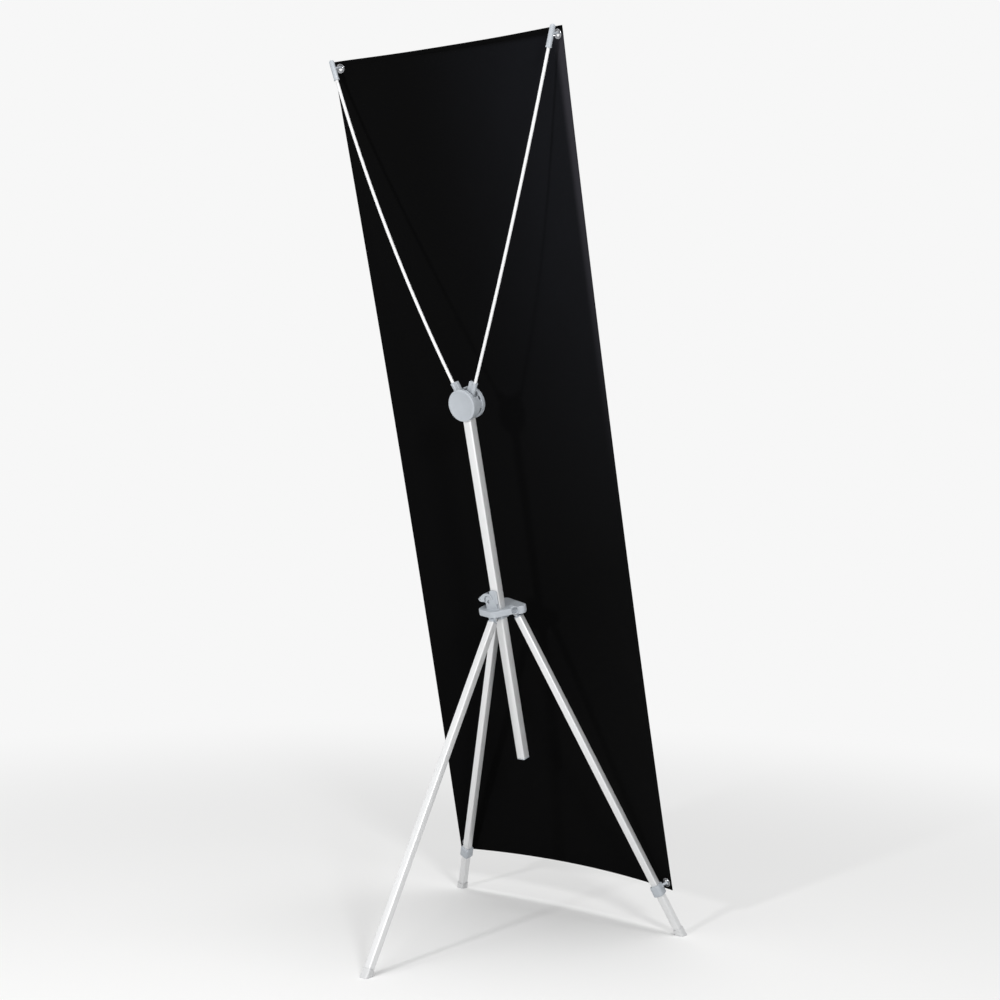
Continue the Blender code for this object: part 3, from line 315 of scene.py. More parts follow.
plate_edge = 0.0018
lobes = {
    "rear": (0.0, 0.017, 0.0145),
    "left": (-0.0365, -0.0265, 0.0115),
    "right": (0.029, 0.007, 0.017),
    "front": (0.022, -0.043, 0.017),
}
sleeve_side = 0.027
sleeve_low = -0.015
skirt_low = -0.0098
skirt_wall = 0.0045
skirt_start = 0.006
skirt_slot = 0.0086
cheek_wall = 0.003
cheek_high = {1: hub_top + 0.041, -1: hub_top + 0.041 - 0.004}
cheek_reach = {1: 0.0093, -1: 0.0046}
cheek_relief = 0.0004
cheek_lap = 0.002
cheek_corner = 0.003
ear_radius = 0.0091
ear_middle = (0.0151, 0.0264)
ear_slot = (0.0148, 0.0180, 0.0185, 0.0268)
ear_in = 0.004
ear_edge = 0.0005
slot_deep = 0.0034
groove = (-0.0036, -0.0020, 0.0125, 0.0400)
groove_deep = 0.0010
slit = (-0.0068, -0.0048, hub_top + 0.001, hub_top + 0.012)
barrel_along = 0.70
barrel_high = 0.0012
barrel_radius = 0.0092
barrel_bore = 0.0070
barrel_deep = 0.0090
barrel_proud = 0.0008
barrel_inward = 0.016
barrel_hole = 0.0022
barrel_hole_deep = 0.003
leg_side = 0.016
fork_ear = 0.004
fork_radius = 0.0052
fork_flare = 0.0005
eye_radius = 0.0048
eye_width = 0.009
pin_radius = 0.002
overlap = 0.001
hub_voxel = 0.00056
legs = {name: Vector(hinges[f"leg_fold_{name}"]["pos_m"]) for name in ("rear", "left", "right")}


def turned_to(out, along=(1, 0, 0)):
    """A turn that takes +Z to out, and +X as near to along as it goes."""
    z = Vector(out).normalized()
    y = z.cross(Vector(along)).normalized()
    return Matrix((y.cross(z), y, z)).transposed().to_4x4()


flat_to_y = turned_to((0, -1, 0))
flat_to_x = turned_to((1, 0, 0), (0, 1, 0))


def disc(x, y, radius, steps=48):
    """Points round a circle."""
    turns = [2 * math.pi * step / steps for step in range(steps)]
    return [(x + radius * math.cos(turn), y + radius * math.sin(turn)) for turn in turns]


def band(points):
    """The outline of a tight band round points."""
    order = convex_hull_2d([Vector(point) for point in points])
    return [points[index] for index in order]


def box_points(low_x, high_x, low_y, high_y):
    """The corners of a rectangle."""
    return [(low_x, low_y), (high_x, low_y), (high_x, high_y), (low_x, high_y)]


def cleaned(piece):
    """Merges the points that coincide and turns every face outward."""
    only(piece)
    bpy.ops.object.mode_set(mode="EDIT")
    bpy.ops.mesh.select_all(action="SELECT")
    bpy.ops.mesh.remove_doubles(threshold=1e-6)
    bpy.ops.mesh.normals_make_consistent(inside=False)
    close()
    return piece


def plate(name, outline, low, high, edge=0.0):
    """A plate with that outline between two heights, with rounded rims, made from a flat curve."""
    curve = bpy.data.curves.new(name, "CURVE")
    curve.dimensions = "2D"
    curve.fill_mode = "BOTH"
    curve.extrude = (high - low) / 2 - edge
    curve.bevel_depth = edge
    curve.bevel_resolution = 3
    curve.offset = -edge
    line = curve.splines.new("POLY")
    line.points.add(len(outline) - 1)
    for spot, (x, y) in zip(line.points, outline):
        spot.co = (x, y, 0, 1)
    line.use_cyclic_u = True
    made = bpy.data.objects.new(name, curve)
    bpy.context.scene.collection.objects.link(made)
    only(made)
    bpy.ops.object.convert(target="MESH")
    made.data.transform(Matrix.Translation((0, 0, (low + high) / 2)))
    return cleaned(made)


def bar(name, start, end, radius, vertices=32):
    """A round bar between two points."""
    start = Vector(start)
    end = Vector(end)
    way = end - start
    bpy.ops.object.select_all(action="DESELECT")
    bpy.ops.mesh.primitive_cylinder_add(
        vertices=vertices,
        radius=radius,
        depth=way.length,
        location=(start + end) / 2,
        rotation=way.to_track_quat("Z", "Y").to_euler(),
    )
    return named(name)


def laid(piece, matrix):
    """The same piece, moved by a matrix."""
    piece.data.transform(matrix)
    return piece


def side_plate(name, outline, way, near, far, edge=0.0):
    """A plate on one side of the mast, that lies between two distances from the mast's middle."""
    low, high = sorted((-way * near, -way * far))
    return laid(plate(name, outline, low, high, edge), flat_to_y)


def leg_axis(name):
    """The way of a leg's pin, in the mast's frame."""
    return mast_turn.inverted() @ Vector(hinges[f"leg_fold_{name}"]["axis"])


def leg_pivot(name):
    """The middle of a leg's pin, in the mast's frame."""
    return mast_place.inverted() @ legs[name]


def fork_place(name):
    """A leg's fork in the mast's frame, with X along its pin and Z up the mast."""
    return Matrix.Translation(leg_pivot(name)) @ turned_to((0, 0, 1), leg_axis(name))


lobe_rims = [point for lobe in lobes.values() for point in disc(*lobe)]
hub = plate("hub_moulding", band(lobe_rims), -hub_top, hub_top, plate_edge)
extras = [square_bar("sleeve", sleeve_side, mast_corner, sleeve_low, 0)]
half = mast_side / 2
near = half + gap / 2
face = near + cheek_wall
for way in (-1, 1):
    ear_low = box_points(half - ear_in, ear_middle[0] + ear_radius, 0, ear_middle[1])
    ear = band(disc(*ear_middle, ear_radius) + ear_low)
    extras.append(side_plate("ear", ear, way, near, face, ear_edge))
    reach = cheek_reach[way]
    high = cheek_high[way]
    cheek = [(-reach, 0), (half + cheek_lap, 0), (half + cheek_lap / 2, high - cheek_corner)]
    cheek += [(half - cheek_lap, high), (-reach + cheek_corner / 2, high), (-reach, high - cheek_corner)]
    extras.append(side_plate("cheek", cheek, way, near + cheek_relief, face))
for name in legs:
    high = -leg_pivot(name).z - hub_top + plate_edge + overlap
    outline = disc(0, 0, fork_radius) + [(way * (fork_radius + fork_flare), high) for way in (-1, 1)]
    for way in (-1, 1):
        middle = way * (eye_width / 2 + gap + fork_ear / 2)
        ear = plate("fork_ear", band(outline), middle - fork_ear / 2, middle + fork_ear / 2)
        extras.append(laid(ear, fork_place(name) @ flat_to_x))

lobe = Vector(lobes["left"][:2])
pivot = leg_pivot("left").xy
out = (lobe - pivot).normalized()
side = Vector((-out.y, out.x))
outer = skirt_slot + skirt_wall
rim = lobes["left"][2] - plate_edge * 0.6
arc = [math.radians(-90 + 180 * step / 24) for step in range(25)]
skirt = [lobe + out * (rim * math.cos(a)) + side * (outer * math.sin(a)) for a in arc]
skirt += [pivot + out * skirt_start + side * outer, pivot + out * skirt_start + side * skirt_slot]
rim -= skirt_wall
skirt += [lobe + out * (rim * math.cos(a)) + side * (skirt_slot * math.sin(a)) for a in reversed(arc)]
skirt += [pivot + out * skirt_start - side * skirt_slot, pivot + out * skirt_start - side * outer]
skirt_high = -hub_top + plate_edge + overlap
extras.append(plate("skirt", [tuple(point) for point in skirt], skirt_low, skirt_high))

rear_lobe = Vector(lobes["rear"][:2])
way = (lobe - rear_lobe).normalized()
tilt = math.asin((lobes["rear"][2] - lobes["left"][2]) / (lobe - rear_lobe).length)
wall_out = Vector((-way.y, way.x)) * -math.cos(tilt) + way * math.sin(tilt)
wall_spot = (rear_lobe + wall_out * lobes["rear"][2]).lerp(lobe + wall_out * lobes["left"][2], barrel_along)
mouth = Vector((*(wall_spot + wall_out * barrel_proud), barrel_high))
wall_out = Vector((*wall_out, 0))
extras.append(bar("barrel", mouth - wall_out * barrel_inward, mouth, barrel_radius, 48))

merged(hub, *extras)
cuts = [square_bar("way", mast_side + 2 * gap, mast_corner + gap, -0.05, 0.08)]
cuts.append(bar("recess", mouth - wall_out * barrel_deep, mouth + wall_out * 0.01, barrel_bore, 48))
cuts.append(bar("recess", mouth - wall_out * (barrel_deep + barrel_hole_deep), mouth, barrel_hole))
for way in (-1, 1):
    cuts.append(side_plate("slot", box_points(*ear_slot), way, face - slot_deep, face + overlap))
    groove_floor = face - cheek_relief - groove_deep
    cuts.append(side_plate("groove", box_points(*groove), way, groove_floor, face + overlap))
cuts.append(laid(plate("slit", box_points(*slit), -0.02, 0.02), flat_to_y))
for name in legs:
    for radius, reach in ((pin_radius + gap, 0.02), (eye_radius + gap, eye_width / 2 + gap * 0.75)):
        cuts.append(laid(bar("bore", (-reach, 0, 0), (reach, 0, 0), radius), fork_place(name)))
past = Vector((0, 0.02, 0))
cuts.append(bar("bore", clamp_pin - past, clamp_pin + past, pin_radius + gap))
carved(hub, *cuts)
shaped(hub, "REMESH", mode="VOXEL", voxel_size=hub_voxel)
shaped(hub, "SMOOTH", factor=0.5, iterations=4)
bpy.ops.object.shade_smooth()
fitted(hub, mast_place, "hub", "grey_plastic", plastic, "hub_plate")


# The lever is a moulded cam that turns on a steel pin between the hub's ears. Its tail sticks out to the
# stand's right, and two straps outside the ears carry the push. The cam presses a rubber shoe on the mast.

strap_gap = 0.0013
strap_wall = 0.0018
cam_radius = 0.0055
lever_half = mast_side / 2 - gap / 2
strap_low = face + gap
strap_high = strap_low + strap_wall
finger_hole = Vector((0.0186, 0.0062))
finger_hole_radius = 0.0013
lever_edge = 0.0006
tail_edge = 0.0008
strap_edge = 0.0004
strap_proud = 0.0001
pin_proud = 0.0006
pin_slack = 0.0004
core_outline = [(-0.0055, 0), (-0.0055, 0.0085), (-0.0020, 0.0115), (0.0040, 0.0118), (0.0095, 0.0110)]
core_outline += [(0.0160, 0.0092), (0.0160, -0.0005), (0.0105, -0.0030)]
for step in range(13):
    turn = math.radians(-50 - 10 * step)
    core_outline.append((cam_radius * math.cos(turn), cam_radius * math.sin(turn)))
tail_outline = [(0.0098, 0.0015), (0.0098, 0.0172), (0.0140, 0.0143), (0.0180, 0.0111), (0.0218, 0.0082)]
tail_outline += [(0.0230, 0.0064), (0.0228, 0.0042), (0.0198, 0.0018), (0.0150, 0.0002)]
strap_outline = [(0.0218, 0.0080), (0.0180, 0.0109), (0.0140, 0.0141), (0.0100, 0.0170), (0.0060, 0.0191)]
strap_outline += [(0.0020, 0.0199), (-0.0030, 0.0200), (-0.0075, 0.0186), (-0.0115, 0.0158)]
strap_outline += [(-0.0142, 0.0118), (-0.0152, 0.0078)]
arch = Vector((ear_middle[0] - clamp_pin.x, ear_middle[1] - clamp_pin.z))
for step in range(25):
    turn = math.radians(168 - 7.8 * step)
    strap_outline.append(tuple(arch + (ear_radius + strap_gap) * Vector((math.cos(turn), math.sin(turn)))))
strap_outline += [(0.0150, 0.0004), (0.0198, 0.0020), (0.0226, 0.0043)]
lever = laid(plate("lever_moulding", core_outline, -lever_half, lever_half, lever_edge), flat_to_y)
merged(lever, laid(plate("tail", tail_outline, -strap_high, strap_high, tail_edge), flat_to_y))
for way in (-1, 1):
    strap = side_plate("strap", strap_outline, way, strap_low, strap_high + strap_proud, strap_edge)
    merged(lever, strap)
hole = Vector((finger_hole.x, 0, finger_hole.y))
carved(
    lever,
    bar("bore", -past, past, pin_radius + gap),
    bar("bore", hole - past, hole + past, finger_hole_radius),
)
lever_place = mast_place @ Matrix.Translation(clamp_pin)
fitted(shaded(lever), lever_place, "clamp_lever", "grey_plastic", plastic, "clamp_lever")

steel, shader, start = finish("zinc_steel", (0.42, 0.43, 0.44), 0.35, 1.0)
place = start.node("ShaderNodeTexCoord", output=3)
tarnish = place.noise(900, 3, 0.6)
drive(shader, "Base Color", tarnish.mixed((0.34, 0.345, 0.35), (0.52, 0.53, 0.54)))
drive(shader, "Roughness", tarnish * 0.22 + 0.26)
bumped(shader, tarnish, 0.08, 0.0002)
pin_end = Vector((0, face - slot_deep + pin_proud, 0))
pivot = softened(bar("lever_pivot_pin", -pin_end, pin_end, pin_radius - pin_slack), 0.0003)
fitted(pivot, lever_place, "hub", "zinc_steel", steel, "lever_pin")


# A leg is a square aluminium tube with a moulded knuckle pushed into its top and a moulded foot over its
# lower end. The knuckle's eye turns on the pin under the hub. The foot is a paler, scuffed plastic, cut flat
# on the floor.

leg_corner = 0.0025
neck = 0.0056
shoulder = 0.0024
knuckle_tongue = 0.020
knuckle_edge = 0.0006
shoulder_edge = 0.0007
foot_edge = 0.0009
foot_side = 0.019
foot_corner = 0.004
foot_sleeve = 0.017
foot_lift = 0.010
leg_places = {}

foot_plastic, shader, start = finish("foot_plastic", (0.60, 0.605, 0.61), 0.36)
place = start.node("ShaderNodeTexCoord", output=3)
scuffs = place.noise(650, 4, 0.65)
drive(shader, "Base Color", scuffs.mixed((0.55, 0.555, 0.56), (0.66, 0.665, 0.67)))
drive(shader, "Roughness", scuffs * 0.25 + 0.24)
bumped(shader, scuffs, 0.12, 0.0003)

for name, pivot in legs.items():
    sole = soles[f"foot_{name}_sole"]
    up = (pivot - sole).normalized()
    axis = Vector(hinges[f"leg_fold_{name}"]["axis"])
    leg_turn = Matrix((axis, up.cross(axis), up)).transposed().to_4x4()
    leg_places[name] = Matrix.Translation(pivot) @ leg_turn
    reach_down = (pivot - sole).length
    body = f"leg_{name}"

    neck_box = box_points(-eye_radius, eye_radius, -neck - overlap, 0)
    outline = band(disc(0, 0, eye_radius) + neck_box)
    knuckle = plate(f"knuckle_{name}", outline, -eye_width / 2, eye_width / 2, knuckle_edge)
    laid(knuckle, flat_to_x)
    low = -neck - shoulder
    collar = softened(square_bar("shoulder", leg_side, leg_corner, low, -neck), shoulder_edge)
    bore = leg_side - 2 * tube_wall - 2 * gap
    inner_corner = leg_corner - tube_wall
    tongue = square_bar("tongue", bore, inner_corner, low - knuckle_tongue, low + shoulder / 2)
    merged(knuckle, collar, tongue)
    carved(knuckle, bar("bore", (-0.01, 0, 0), (0.01, 0, 0), pin_radius + gap))
    fitted(shaded(knuckle), leg_places[name], body, "grey_plastic", plastic, f"leg_knuckle_{name}")

    tube = square_tube(f"square_leg_{name}", leg_side, leg_corner, foot_lift - reach_down, low - gap)
    fitted(tube, leg_places[name], body, "satin_aluminium", aluminium, f"leg_tube_{name}")

    foot_high = foot_sleeve - reach_down
    foot = square_bar(f"foot_cap_{name}", foot_side, foot_corner, -reach_down - foot_side, foot_high)
    carved(foot, square_bar("seat", leg_side + 2 * gap, leg_corner + gap, foot_lift - reach_down - gap, 0))
    pick(foot, "faces", lambda face: True)
    floor_up = leg_turn.to_3x3().inverted() @ Vector((0, 0, 1))
    bpy.ops.mesh.bisect(plane_co=(0, 0, -reach_down), plane_no=floor_up, use_fill=True, clear_inner=True)
    close()
    softened(foot, foot_edge, 3, 30)
    fitted(foot, leg_places[name], body, "grey_plastic", foot_plastic, f"leg_foot_{name}")


# A collar slides on each front leg. It is a thick moulded sleeve with a boss, and a mushroom peg stands on
# the boss to catch the sheet's lower eyelet, pointing forward and outward.

collar_side = 0.024
collar_corner = 0.006
collar_half = 0.012
peg_above = 0.005
peg_up_leg = 0.1153
peg_reach = 0.0237
peg_turn = math.radians(42)
peg_radius = 0.0028
peg_past = 0.008
collar_edge = 0.0022
boss_sunk = 0.0008
boss_profile = [(0, 0), (0.0062, 0), (0.0058, 0.0035), (0.0048, 0.0050), (0, 0.0050)]
peg_profile = [(0, -0.0008), (0.0030, -0.0006), (0.0039, 0.0004), (0.0039, 0.0010), (0.0034, 0.0018)]
peg_profile += [(0.0022, 0.0024), (0, 0.0026)]


def spun(name, profile, steps=48):
    """A solid turned round Z from a profile of radii and heights, which is closed or ends on the axis."""
    mesh = bpy.data.meshes.new(name)
    count = len(profile)
    closed = profile[0] == profile[-1]
    points = [(radius, 0, height) for radius, height in profile[: count - closed]]
    mesh.from_pydata(points, [(i, (i + 1) % len(points)) for i in range(count - 1)], [])
    made = bpy.data.objects.new(name, mesh)
    bpy.context.scene.collection.objects.link(made)
    only(made)
    bpy.ops.object.mode_set(mode="EDIT")
    bpy.ops.mesh.select_all(action="SELECT")
    bpy.ops.mesh.spin(steps=steps, angle=2 * math.pi, center=(0, 0, 0), axis=(0, 0, 1))
    close()
    return shaded(cleaned(made))


for name, side in sides.items():
    leg_turn = leg_places[name].to_3x3()
    reach_down = (legs[name] - soles[f"foot_{name}_sole"]).length
    forward = leg_turn.inverted() @ mast_turn @ Vector((0, -1, 0))
    forward.z = 0
    forward.normalize()
    outward = Vector((0, 0, 1)).cross(forward)
    if (mast_turn.inverted() @ leg_turn @ outward).x * side < 0:
        outward = -outward
    way = math.cos(peg_turn) * forward + math.sin(peg_turn) * outward
    root = Vector((0, 0, peg_above))
    sleeve = square_bar(f"sliding_collar_{name}", collar_side, collar_corner, -collar_half, collar_half)
    softened(sleeve, collar_edge)
    boss_root = root + way * (leg_side / 2 + boss_sunk)
    boss = laid(spun("boss", boss_profile), Matrix.Translation(boss_root) @ turned_to(way))
    end = root + way * (peg_reach + peg_past)
    head = laid(spun("peg_head", peg_profile), Matrix.Translation(end) @ turned_to(way))
    merged(sleeve, boss, bar("peg", root + way * leg_side / 2, end, peg_radius), head)
    seat = square_bar("seat", leg_side + 2 * gap, leg_corner + gap, -collar_half - 0.01, collar_half + 0.01)
    carved(sleeve, seat)
    here = leg_places[name] @ Matrix.Translation((0, 0, peg_up_leg - peg_above - reach_down))
    fitted(shaded(sleeve), here, f"collar_{name}", "grey_plastic", plastic, f"collar_{name}")


# The head sits on the mast's top: a core between two round covers. The covers are dished shells with a
# raised rim, held by three screws from the front, and the core is slotted so that the arms' sockets can turn.

head_place = mast_place @ Matrix.Translation((0, 0, head_height))
head_radius = 0.0335
cover_thick = 0.009
cover_face = 0.003
cover_rim = 0.0035
core_radius = 0.0315
core_top = 0.015
arm_pin = Vector((0.0154, 0, 0.013))
socket_eye = 0.0075
socket_room = 0.0062
notch_inner = 0.0235
notch_start = 0.0048
notches = ((math.radians(31.5), 0.0098), (math.radians(-34.5), 0.0082))
screw_radius = 0.0015
screw_spots = ((-0.021, -0.015), (0.021, -0.015), (0.0, 0.003))
post_radius = 0.0042
boss_wall = 0.003
blind_bore = 0.0035
screw_bore = 0.004
cross_pin_low = -0.018
cross_pin_radius = 0.0018
cross_pin_past = 0.005
core_edge = 0.0005
near = mast_side / 2 + gap
far = near + cover_thick

dish = 0.0006
rim_start = head_radius - 0.0062
rim_round = 0.0018
cover_profile = [(0, far - dish), (rim_start, far - dish), (rim_start + 0.0005, far - 0.0004)]
cover_profile += [(rim_start + 0.0010, far), (head_radius - rim_round, far)]
for step in range(1, 7):
    turn = math.radians(90 - 15 * step)
    x = head_radius - rim_round + rim_round * math.cos(turn)
    cover_profile.append((x, far - rim_round + rim_round * math.sin(turn)))
cover_profile += [(head_radius, near + 0.0004), (head_radius - 0.0004, near), (head_radius - cover_rim, near)]
cover_profile += [(head_radius - cover_rim, far - cover_face), (0, far - cover_face)]
for name, way in (("rear", 1), ("front", -1)):
    cover = spun(f"head_{name}_shell", cover_profile, 96)
    for side in sides.values():
        x, y = side * arm_pin.x, arm_pin.z
        merged(cover, plate("boss", disc(x, y, pin_radius + boss_wall, 24), near, far - cover_face / 2))
        bore = disc(x, y, pin_radius + gap, 24)
        carved(cover, plate("bore", bore, near - overlap, near + blind_bore))
    for x, y in screw_spots:
        merged(cover, plate("post", disc(x, y, post_radius, 24), near, far - cover_face / 2))
        deep = far + overlap if way < 0 else near + screw_bore
        carved(cover, plate("bore", disc(x, y, screw_radius + gap, 24), near - overlap, deep))
    shaded(cover, 30)
    laid(cover, turned_to((0, way, 0), (way, 0, 0)) @ Matrix.Scale(way, 4, (1, 0, 0)))
    if way < 0:
        cover.data.flip_normals()
    fitted(cover, head_place, "mast", "grey_plastic", plastic, f"head_{name}_cover")

core_rim = disc(0, 0, core_radius, 96)
core = plate("head_core_moulding", core_rim, -mast_side / 2, mast_side / 2, core_edge)
slot_half = mast_side / 2 + gap
cuts = [
    plate("flat", box_points(-0.05, 0.05, core_top, 0.05), -0.02, 0.02),
    plate("slot", box_points(-slot_half, slot_half, -0.05, gap - mast_below_head), -0.02, 0.02),
]
for side in sides.values():
    eye = disc(side * arm_pin.x, arm_pin.z, socket_eye + 0.001)
    cuts.append(plate("eye", eye, -socket_room, socket_room))
    for aim, half in notches:
        notch = plate("notch", box_points(notch_inner, 0.05, -half, half), notch_start, 0.02)
        cuts.append(laid(notch, Matrix.Rotation(aim if side > 0 else math.pi - aim, 4, "Z")))
for x, y in screw_spots:
    cuts.append(plate("bore", disc(x, y, screw_radius + gap, 24), -0.02, 0.02))
carved(core, *cuts)
laid(core, flat_to_y)
pin_half = mast_side / 2 + cross_pin_past + gap
pin_ends = [(-pin_half, 0, cross_pin_low), (pin_half, 0, cross_pin_low)]
carved(core, bar("bore", *pin_ends, cross_pin_radius))
fitted(shaded(core, 30), head_place, "mast", "grey_plastic", plastic, "head_core")


# Each arm is a moulded socket that turns in the head, a thin white rod bowed by the sheet's pull, and a tip
# cap whose hook goes through an upper eyelet. The rod is glued into the socket and the cap.

arm_splay = math.radians(24.8)
arm_tilt = math.radians(3.2)
sleeve_radius = 0.0055
sleeve_end = 0.0334
sleeve_start = 0.004
socket_half = 0.005
socket_edge = 0.0008
tab_width = 0.007
tab_half = 0.0042
tab_start = 0.010
tab_short = 0.0012
rod_radius = 0.00325
rod_forward = 0.0738
rod_spread = 0.24628
rod_rise = 0.63309
rod_in_socket = 0.020
rod_in_cap = 0.024
cap_length = 0.0445
cap_radius = 0.0055
hook_up = 0.0256
hook_radius = 0.0024
hook_reach = 0.0215
hook_past = 0.009
hook_tip = 0.0075
hook_edge = 0.0008
tip_edge = 0.0009
rod_steps = 48
bead = 0.0005
lip_edge = 0.0003

rod_paint, shader, start = finish("white_rod", (0.80, 0.80, 0.81), 0.3)
grain = start.node("ShaderNodeAttribute", {"attribute_name": "grain"}, output=1)
peel = grain.noise(700, 2)
drive(shader, "Base Color", grain.noise(25, 3).mixed((0.775, 0.775, 0.785), (0.83, 0.83, 0.835)))
drive(shader, "Roughness", peel * 0.12 + 0.22)
bumped(shader, peel, 0.05, 0.0002)

for name, side in sides.items():
    arm_place = Matrix.Translation(hinges[f"arm_fold_{name}"]["pos_m"]) @ mast_turn.to_4x4()
    base = Vector((side * math.sin(arm_splay) * math.cos(arm_tilt), -math.sin(arm_tilt), 0))
    base.z = math.cos(arm_splay) * math.cos(arm_tilt)
    start = base * sleeve_end
    handle = start + base * (rod_rise / 2 / base.z)
    end = start + Vector((side * rod_spread, -rod_forward, rod_rise))
    out = (end - handle).normalized()
    body = f"arm_{name}"

    socket = plate(f"socket_{name}", disc(0, 0, socket_eye), -socket_half, socket_half, socket_edge)
    laid(socket, flat_to_y)
    profile = [(0, sleeve_start), (sleeve_radius, sleeve_start), (sleeve_radius, sleeve_end - 0.0022)]
    profile += [(sleeve_radius + bead, sleeve_end - 0.0016), (sleeve_radius + bead, sleeve_end - bead)]
    profile += [(sleeve_radius, sleeve_end), (0, sleeve_end)]
    sleeve = laid(spun("sleeve", profile), turned_to(base))
    across = base.cross(Vector((0, 1, 0))).normalized() * side
    lay = Matrix((across, base, across.cross(base))).transposed().to_4x4()
    tab_end = sleeve_end - tab_short
    tab_box = box_points(sleeve_radius / 2, sleeve_radius + tab_width, tab_start, tab_end)
    tab = laid(plate("tab", tab_box, -tab_half, tab_half, socket_edge), lay)
    merged(socket, sleeve, tab)
    carved(
        socket,
        bar("bore", base * (sleeve_end - rod_in_socket - 0.001), base * 0.06, rod_radius + gap),
        bar("bore", (0, -0.01, 0), (0, 0.01, 0), pin_radius + gap),
    )
    fitted(shaded(socket), arm_place, body, "grey_plastic", plastic, f"arm_socket_{name}")

    route = [base * (sleeve_end - rod_in_socket)]
    for step in range(rod_steps + 1):
        u = step / rod_steps
        route.append(start * (1 - u) ** 2 + handle * (2 * u * (1 - u)) + end * u**2)
    route.append(end + out * rod_in_cap)
    curve = bpy.data.curves.new(f"bowed_rod_{name}", "CURVE")
    curve.dimensions = "3D"
    curve.bevel_depth = rod_radius
    curve.bevel_resolution = 6
    curve.use_fill_caps = True
    line = curve.splines.new("POLY")
    line.points.add(len(route) - 1)
    for spot, point in zip(line.points, route):
        spot.co = (*point, 1)
    rod = bpy.data.objects.new(f"bowed_rod_{name}", curve)
    bpy.context.scene.collection.objects.link(rod)
    only(rod)
    bpy.ops.object.convert(target="MESH")
    fitted(shaded(rod), arm_place, body, "white_rod", rod_paint, f"arm_rod_{name}")

    bore = rod_radius + gap
    lip = cap_radius + 0.0008
    profile = [(0, rod_in_cap + gap), (bore, rod_in_cap + gap), (bore, 0), (lip - lip_edge, 0)]
    profile += [(lip, lip_edge), (lip, 0.0018), (lip - 0.0004, 0.0024), (cap_radius, 0.0030)]
    for step in range(1, 13):
        turn = math.radians(90 * step / 12)
        height = cap_length - cap_radius * 0.9 * (1 - math.sin(turn))
        profile.append((cap_radius * math.cos(turn) if step < 12 else 0, height))
    cap = laid(spun(f"tip_cap_{name}", profile), Matrix.Translation(end) @ turned_to(out))
    root = end + out * hook_up
    far_end = root + Vector((0, -hook_reach - hook_past, 0))
    tip_start = far_end + Vector((0, hook_radius * 0.9, -hook_radius * 0.6))
    tip_end = tip_start + Vector((0, -0.0005, hook_tip))
    hook_start = root + Vector((0, -rod_radius - 0.0012, 0))
    hook = softened(bar("hook", hook_start, far_end, hook_radius), hook_edge)
    tip = softened(bar("tip", tip_start, tip_end, hook_radius * 0.94), tip_edge)
    merged(cap, hook, tip)
    fitted(shaded(cap), arm_place, body, "grey_plastic", plastic, f"arm_tip_{name}")


# The sheet is a matt black film, plain on both sides here, since its printed front isn't seen. Its back has a
# painted reflection, a painted edge highlight and painted shade on the strip above the upper eyelets. Four eyelets
# stretch it, and it follows them: each corner is drawn along by its own eyelet when an arm, a leg, a collar
# or the mast moves.

sheet_width = 0.600
sheet_taper = 0.013
sheet_height = 1.800
sheet_thick = 0.0005
edge_pull = 0.0067
edge_bow = 0.004
eyelet_inset = 0.015
eyelet_bore = 0.005
eyelet_radius = 0.010
eyelet_wall = 0.0008
sheet_columns = 60
sheet_rows = 184
flap_rows = 12
flap_row = 0.002
flap_turn = math.radians(38)
flap_crease = 0.004


def middle_of(node):
    """The middle of a node's box."""
    low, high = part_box(node)
    return (Vector(low) + Vector(high)) / 2


top_hole = middle_of("eyelet_top_right")
foot_hole = middle_of("eyelet_bottom_right")
sheet_down = Vector((0, foot_hole.y - top_hole.y, foot_hole.z - top_hole.z))
sheet_front = sheet_down.cross(Vector((1, 0, 0))).normalized()


def share_at(down):
    """How far down the sheet a point is, from 0 at the upper eyelets to 1 at the lower ones."""
    return (down - eyelet_inset) / (sheet_height - 2 * eyelet_inset)


def width_at(down):
    """The sheet's width at that distance from its top."""
    return sheet_width - sheet_taper * share_at(down)


def hole_across(down):
    """How far out an eyelet at that level is, where 0 is the sheet's middle and 1 its edge."""
    return 1 - eyelet_inset / (width_at(down) / 2)


def bend_for(hole_x, down):
    """Half the angle of the sheet's arc when its eyelets are that far from the middle."""
    low = 0.001
    high = math.pi / 2
    for _ in range(40):
        bend = (low + high) / 2
        if width_at(down) / 2 * math.sin(bend * hole_across(down)) / bend > hole_x:
            low = bend
        else:
            high = bend
    return bend


def sheet_point(across, down):
    """A point of the sheet's middle layer and its front normal: -1 to 1 across, and metres from the top."""
    share = share_at(down)
    swell = 4 * share * (1 - share)
    bend = bend_for(top_hole.x + (foot_hole.x - top_hole.x) * share - edge_pull * swell, down)
    radius = width_at(down) / 2 / bend
    depth = radius * (math.cos(bend * across) - math.cos(bend * hole_across(down))) + edge_bow * swell
    line = Vector((0, top_hole.y, top_hole.z)) + sheet_down * share
    spot = line + Vector((radius * math.sin(bend * across), 0, 0)) + sheet_front * depth
    normal = Vector((math.sin(bend * across), 0, 0)) + sheet_front * math.cos(bend * across)
    return spot, normal


def flap_point(across, down):
    """A point of the free strip above the upper eyelets, which curls to the rear over the taut line."""
    spot, normal = sheet_point(across, eyelet_inset)
    lift = eyelet_inset - down
    turn = flap_turn * max(0.0, 1 - abs(across) ** 3) * min(1.0, lift / flap_crease)
    up = -sheet_down.normalized()
    spot += up * (lift * math.cos(turn)) - normal * (lift * math.sin(turn))
    return spot, normal * math.cos(turn) + up * math.sin(turn)


def smooth(link, low, high):
    """0 where a link's number is at low, 1 where it is at high, and a soft step between them."""
    inputs = {"Value": link, "From Min": low, "From Max": high}
    return link.node("ShaderNodeMapRange", {"interpolation_type": "SMOOTHSTEP"}, inputs)


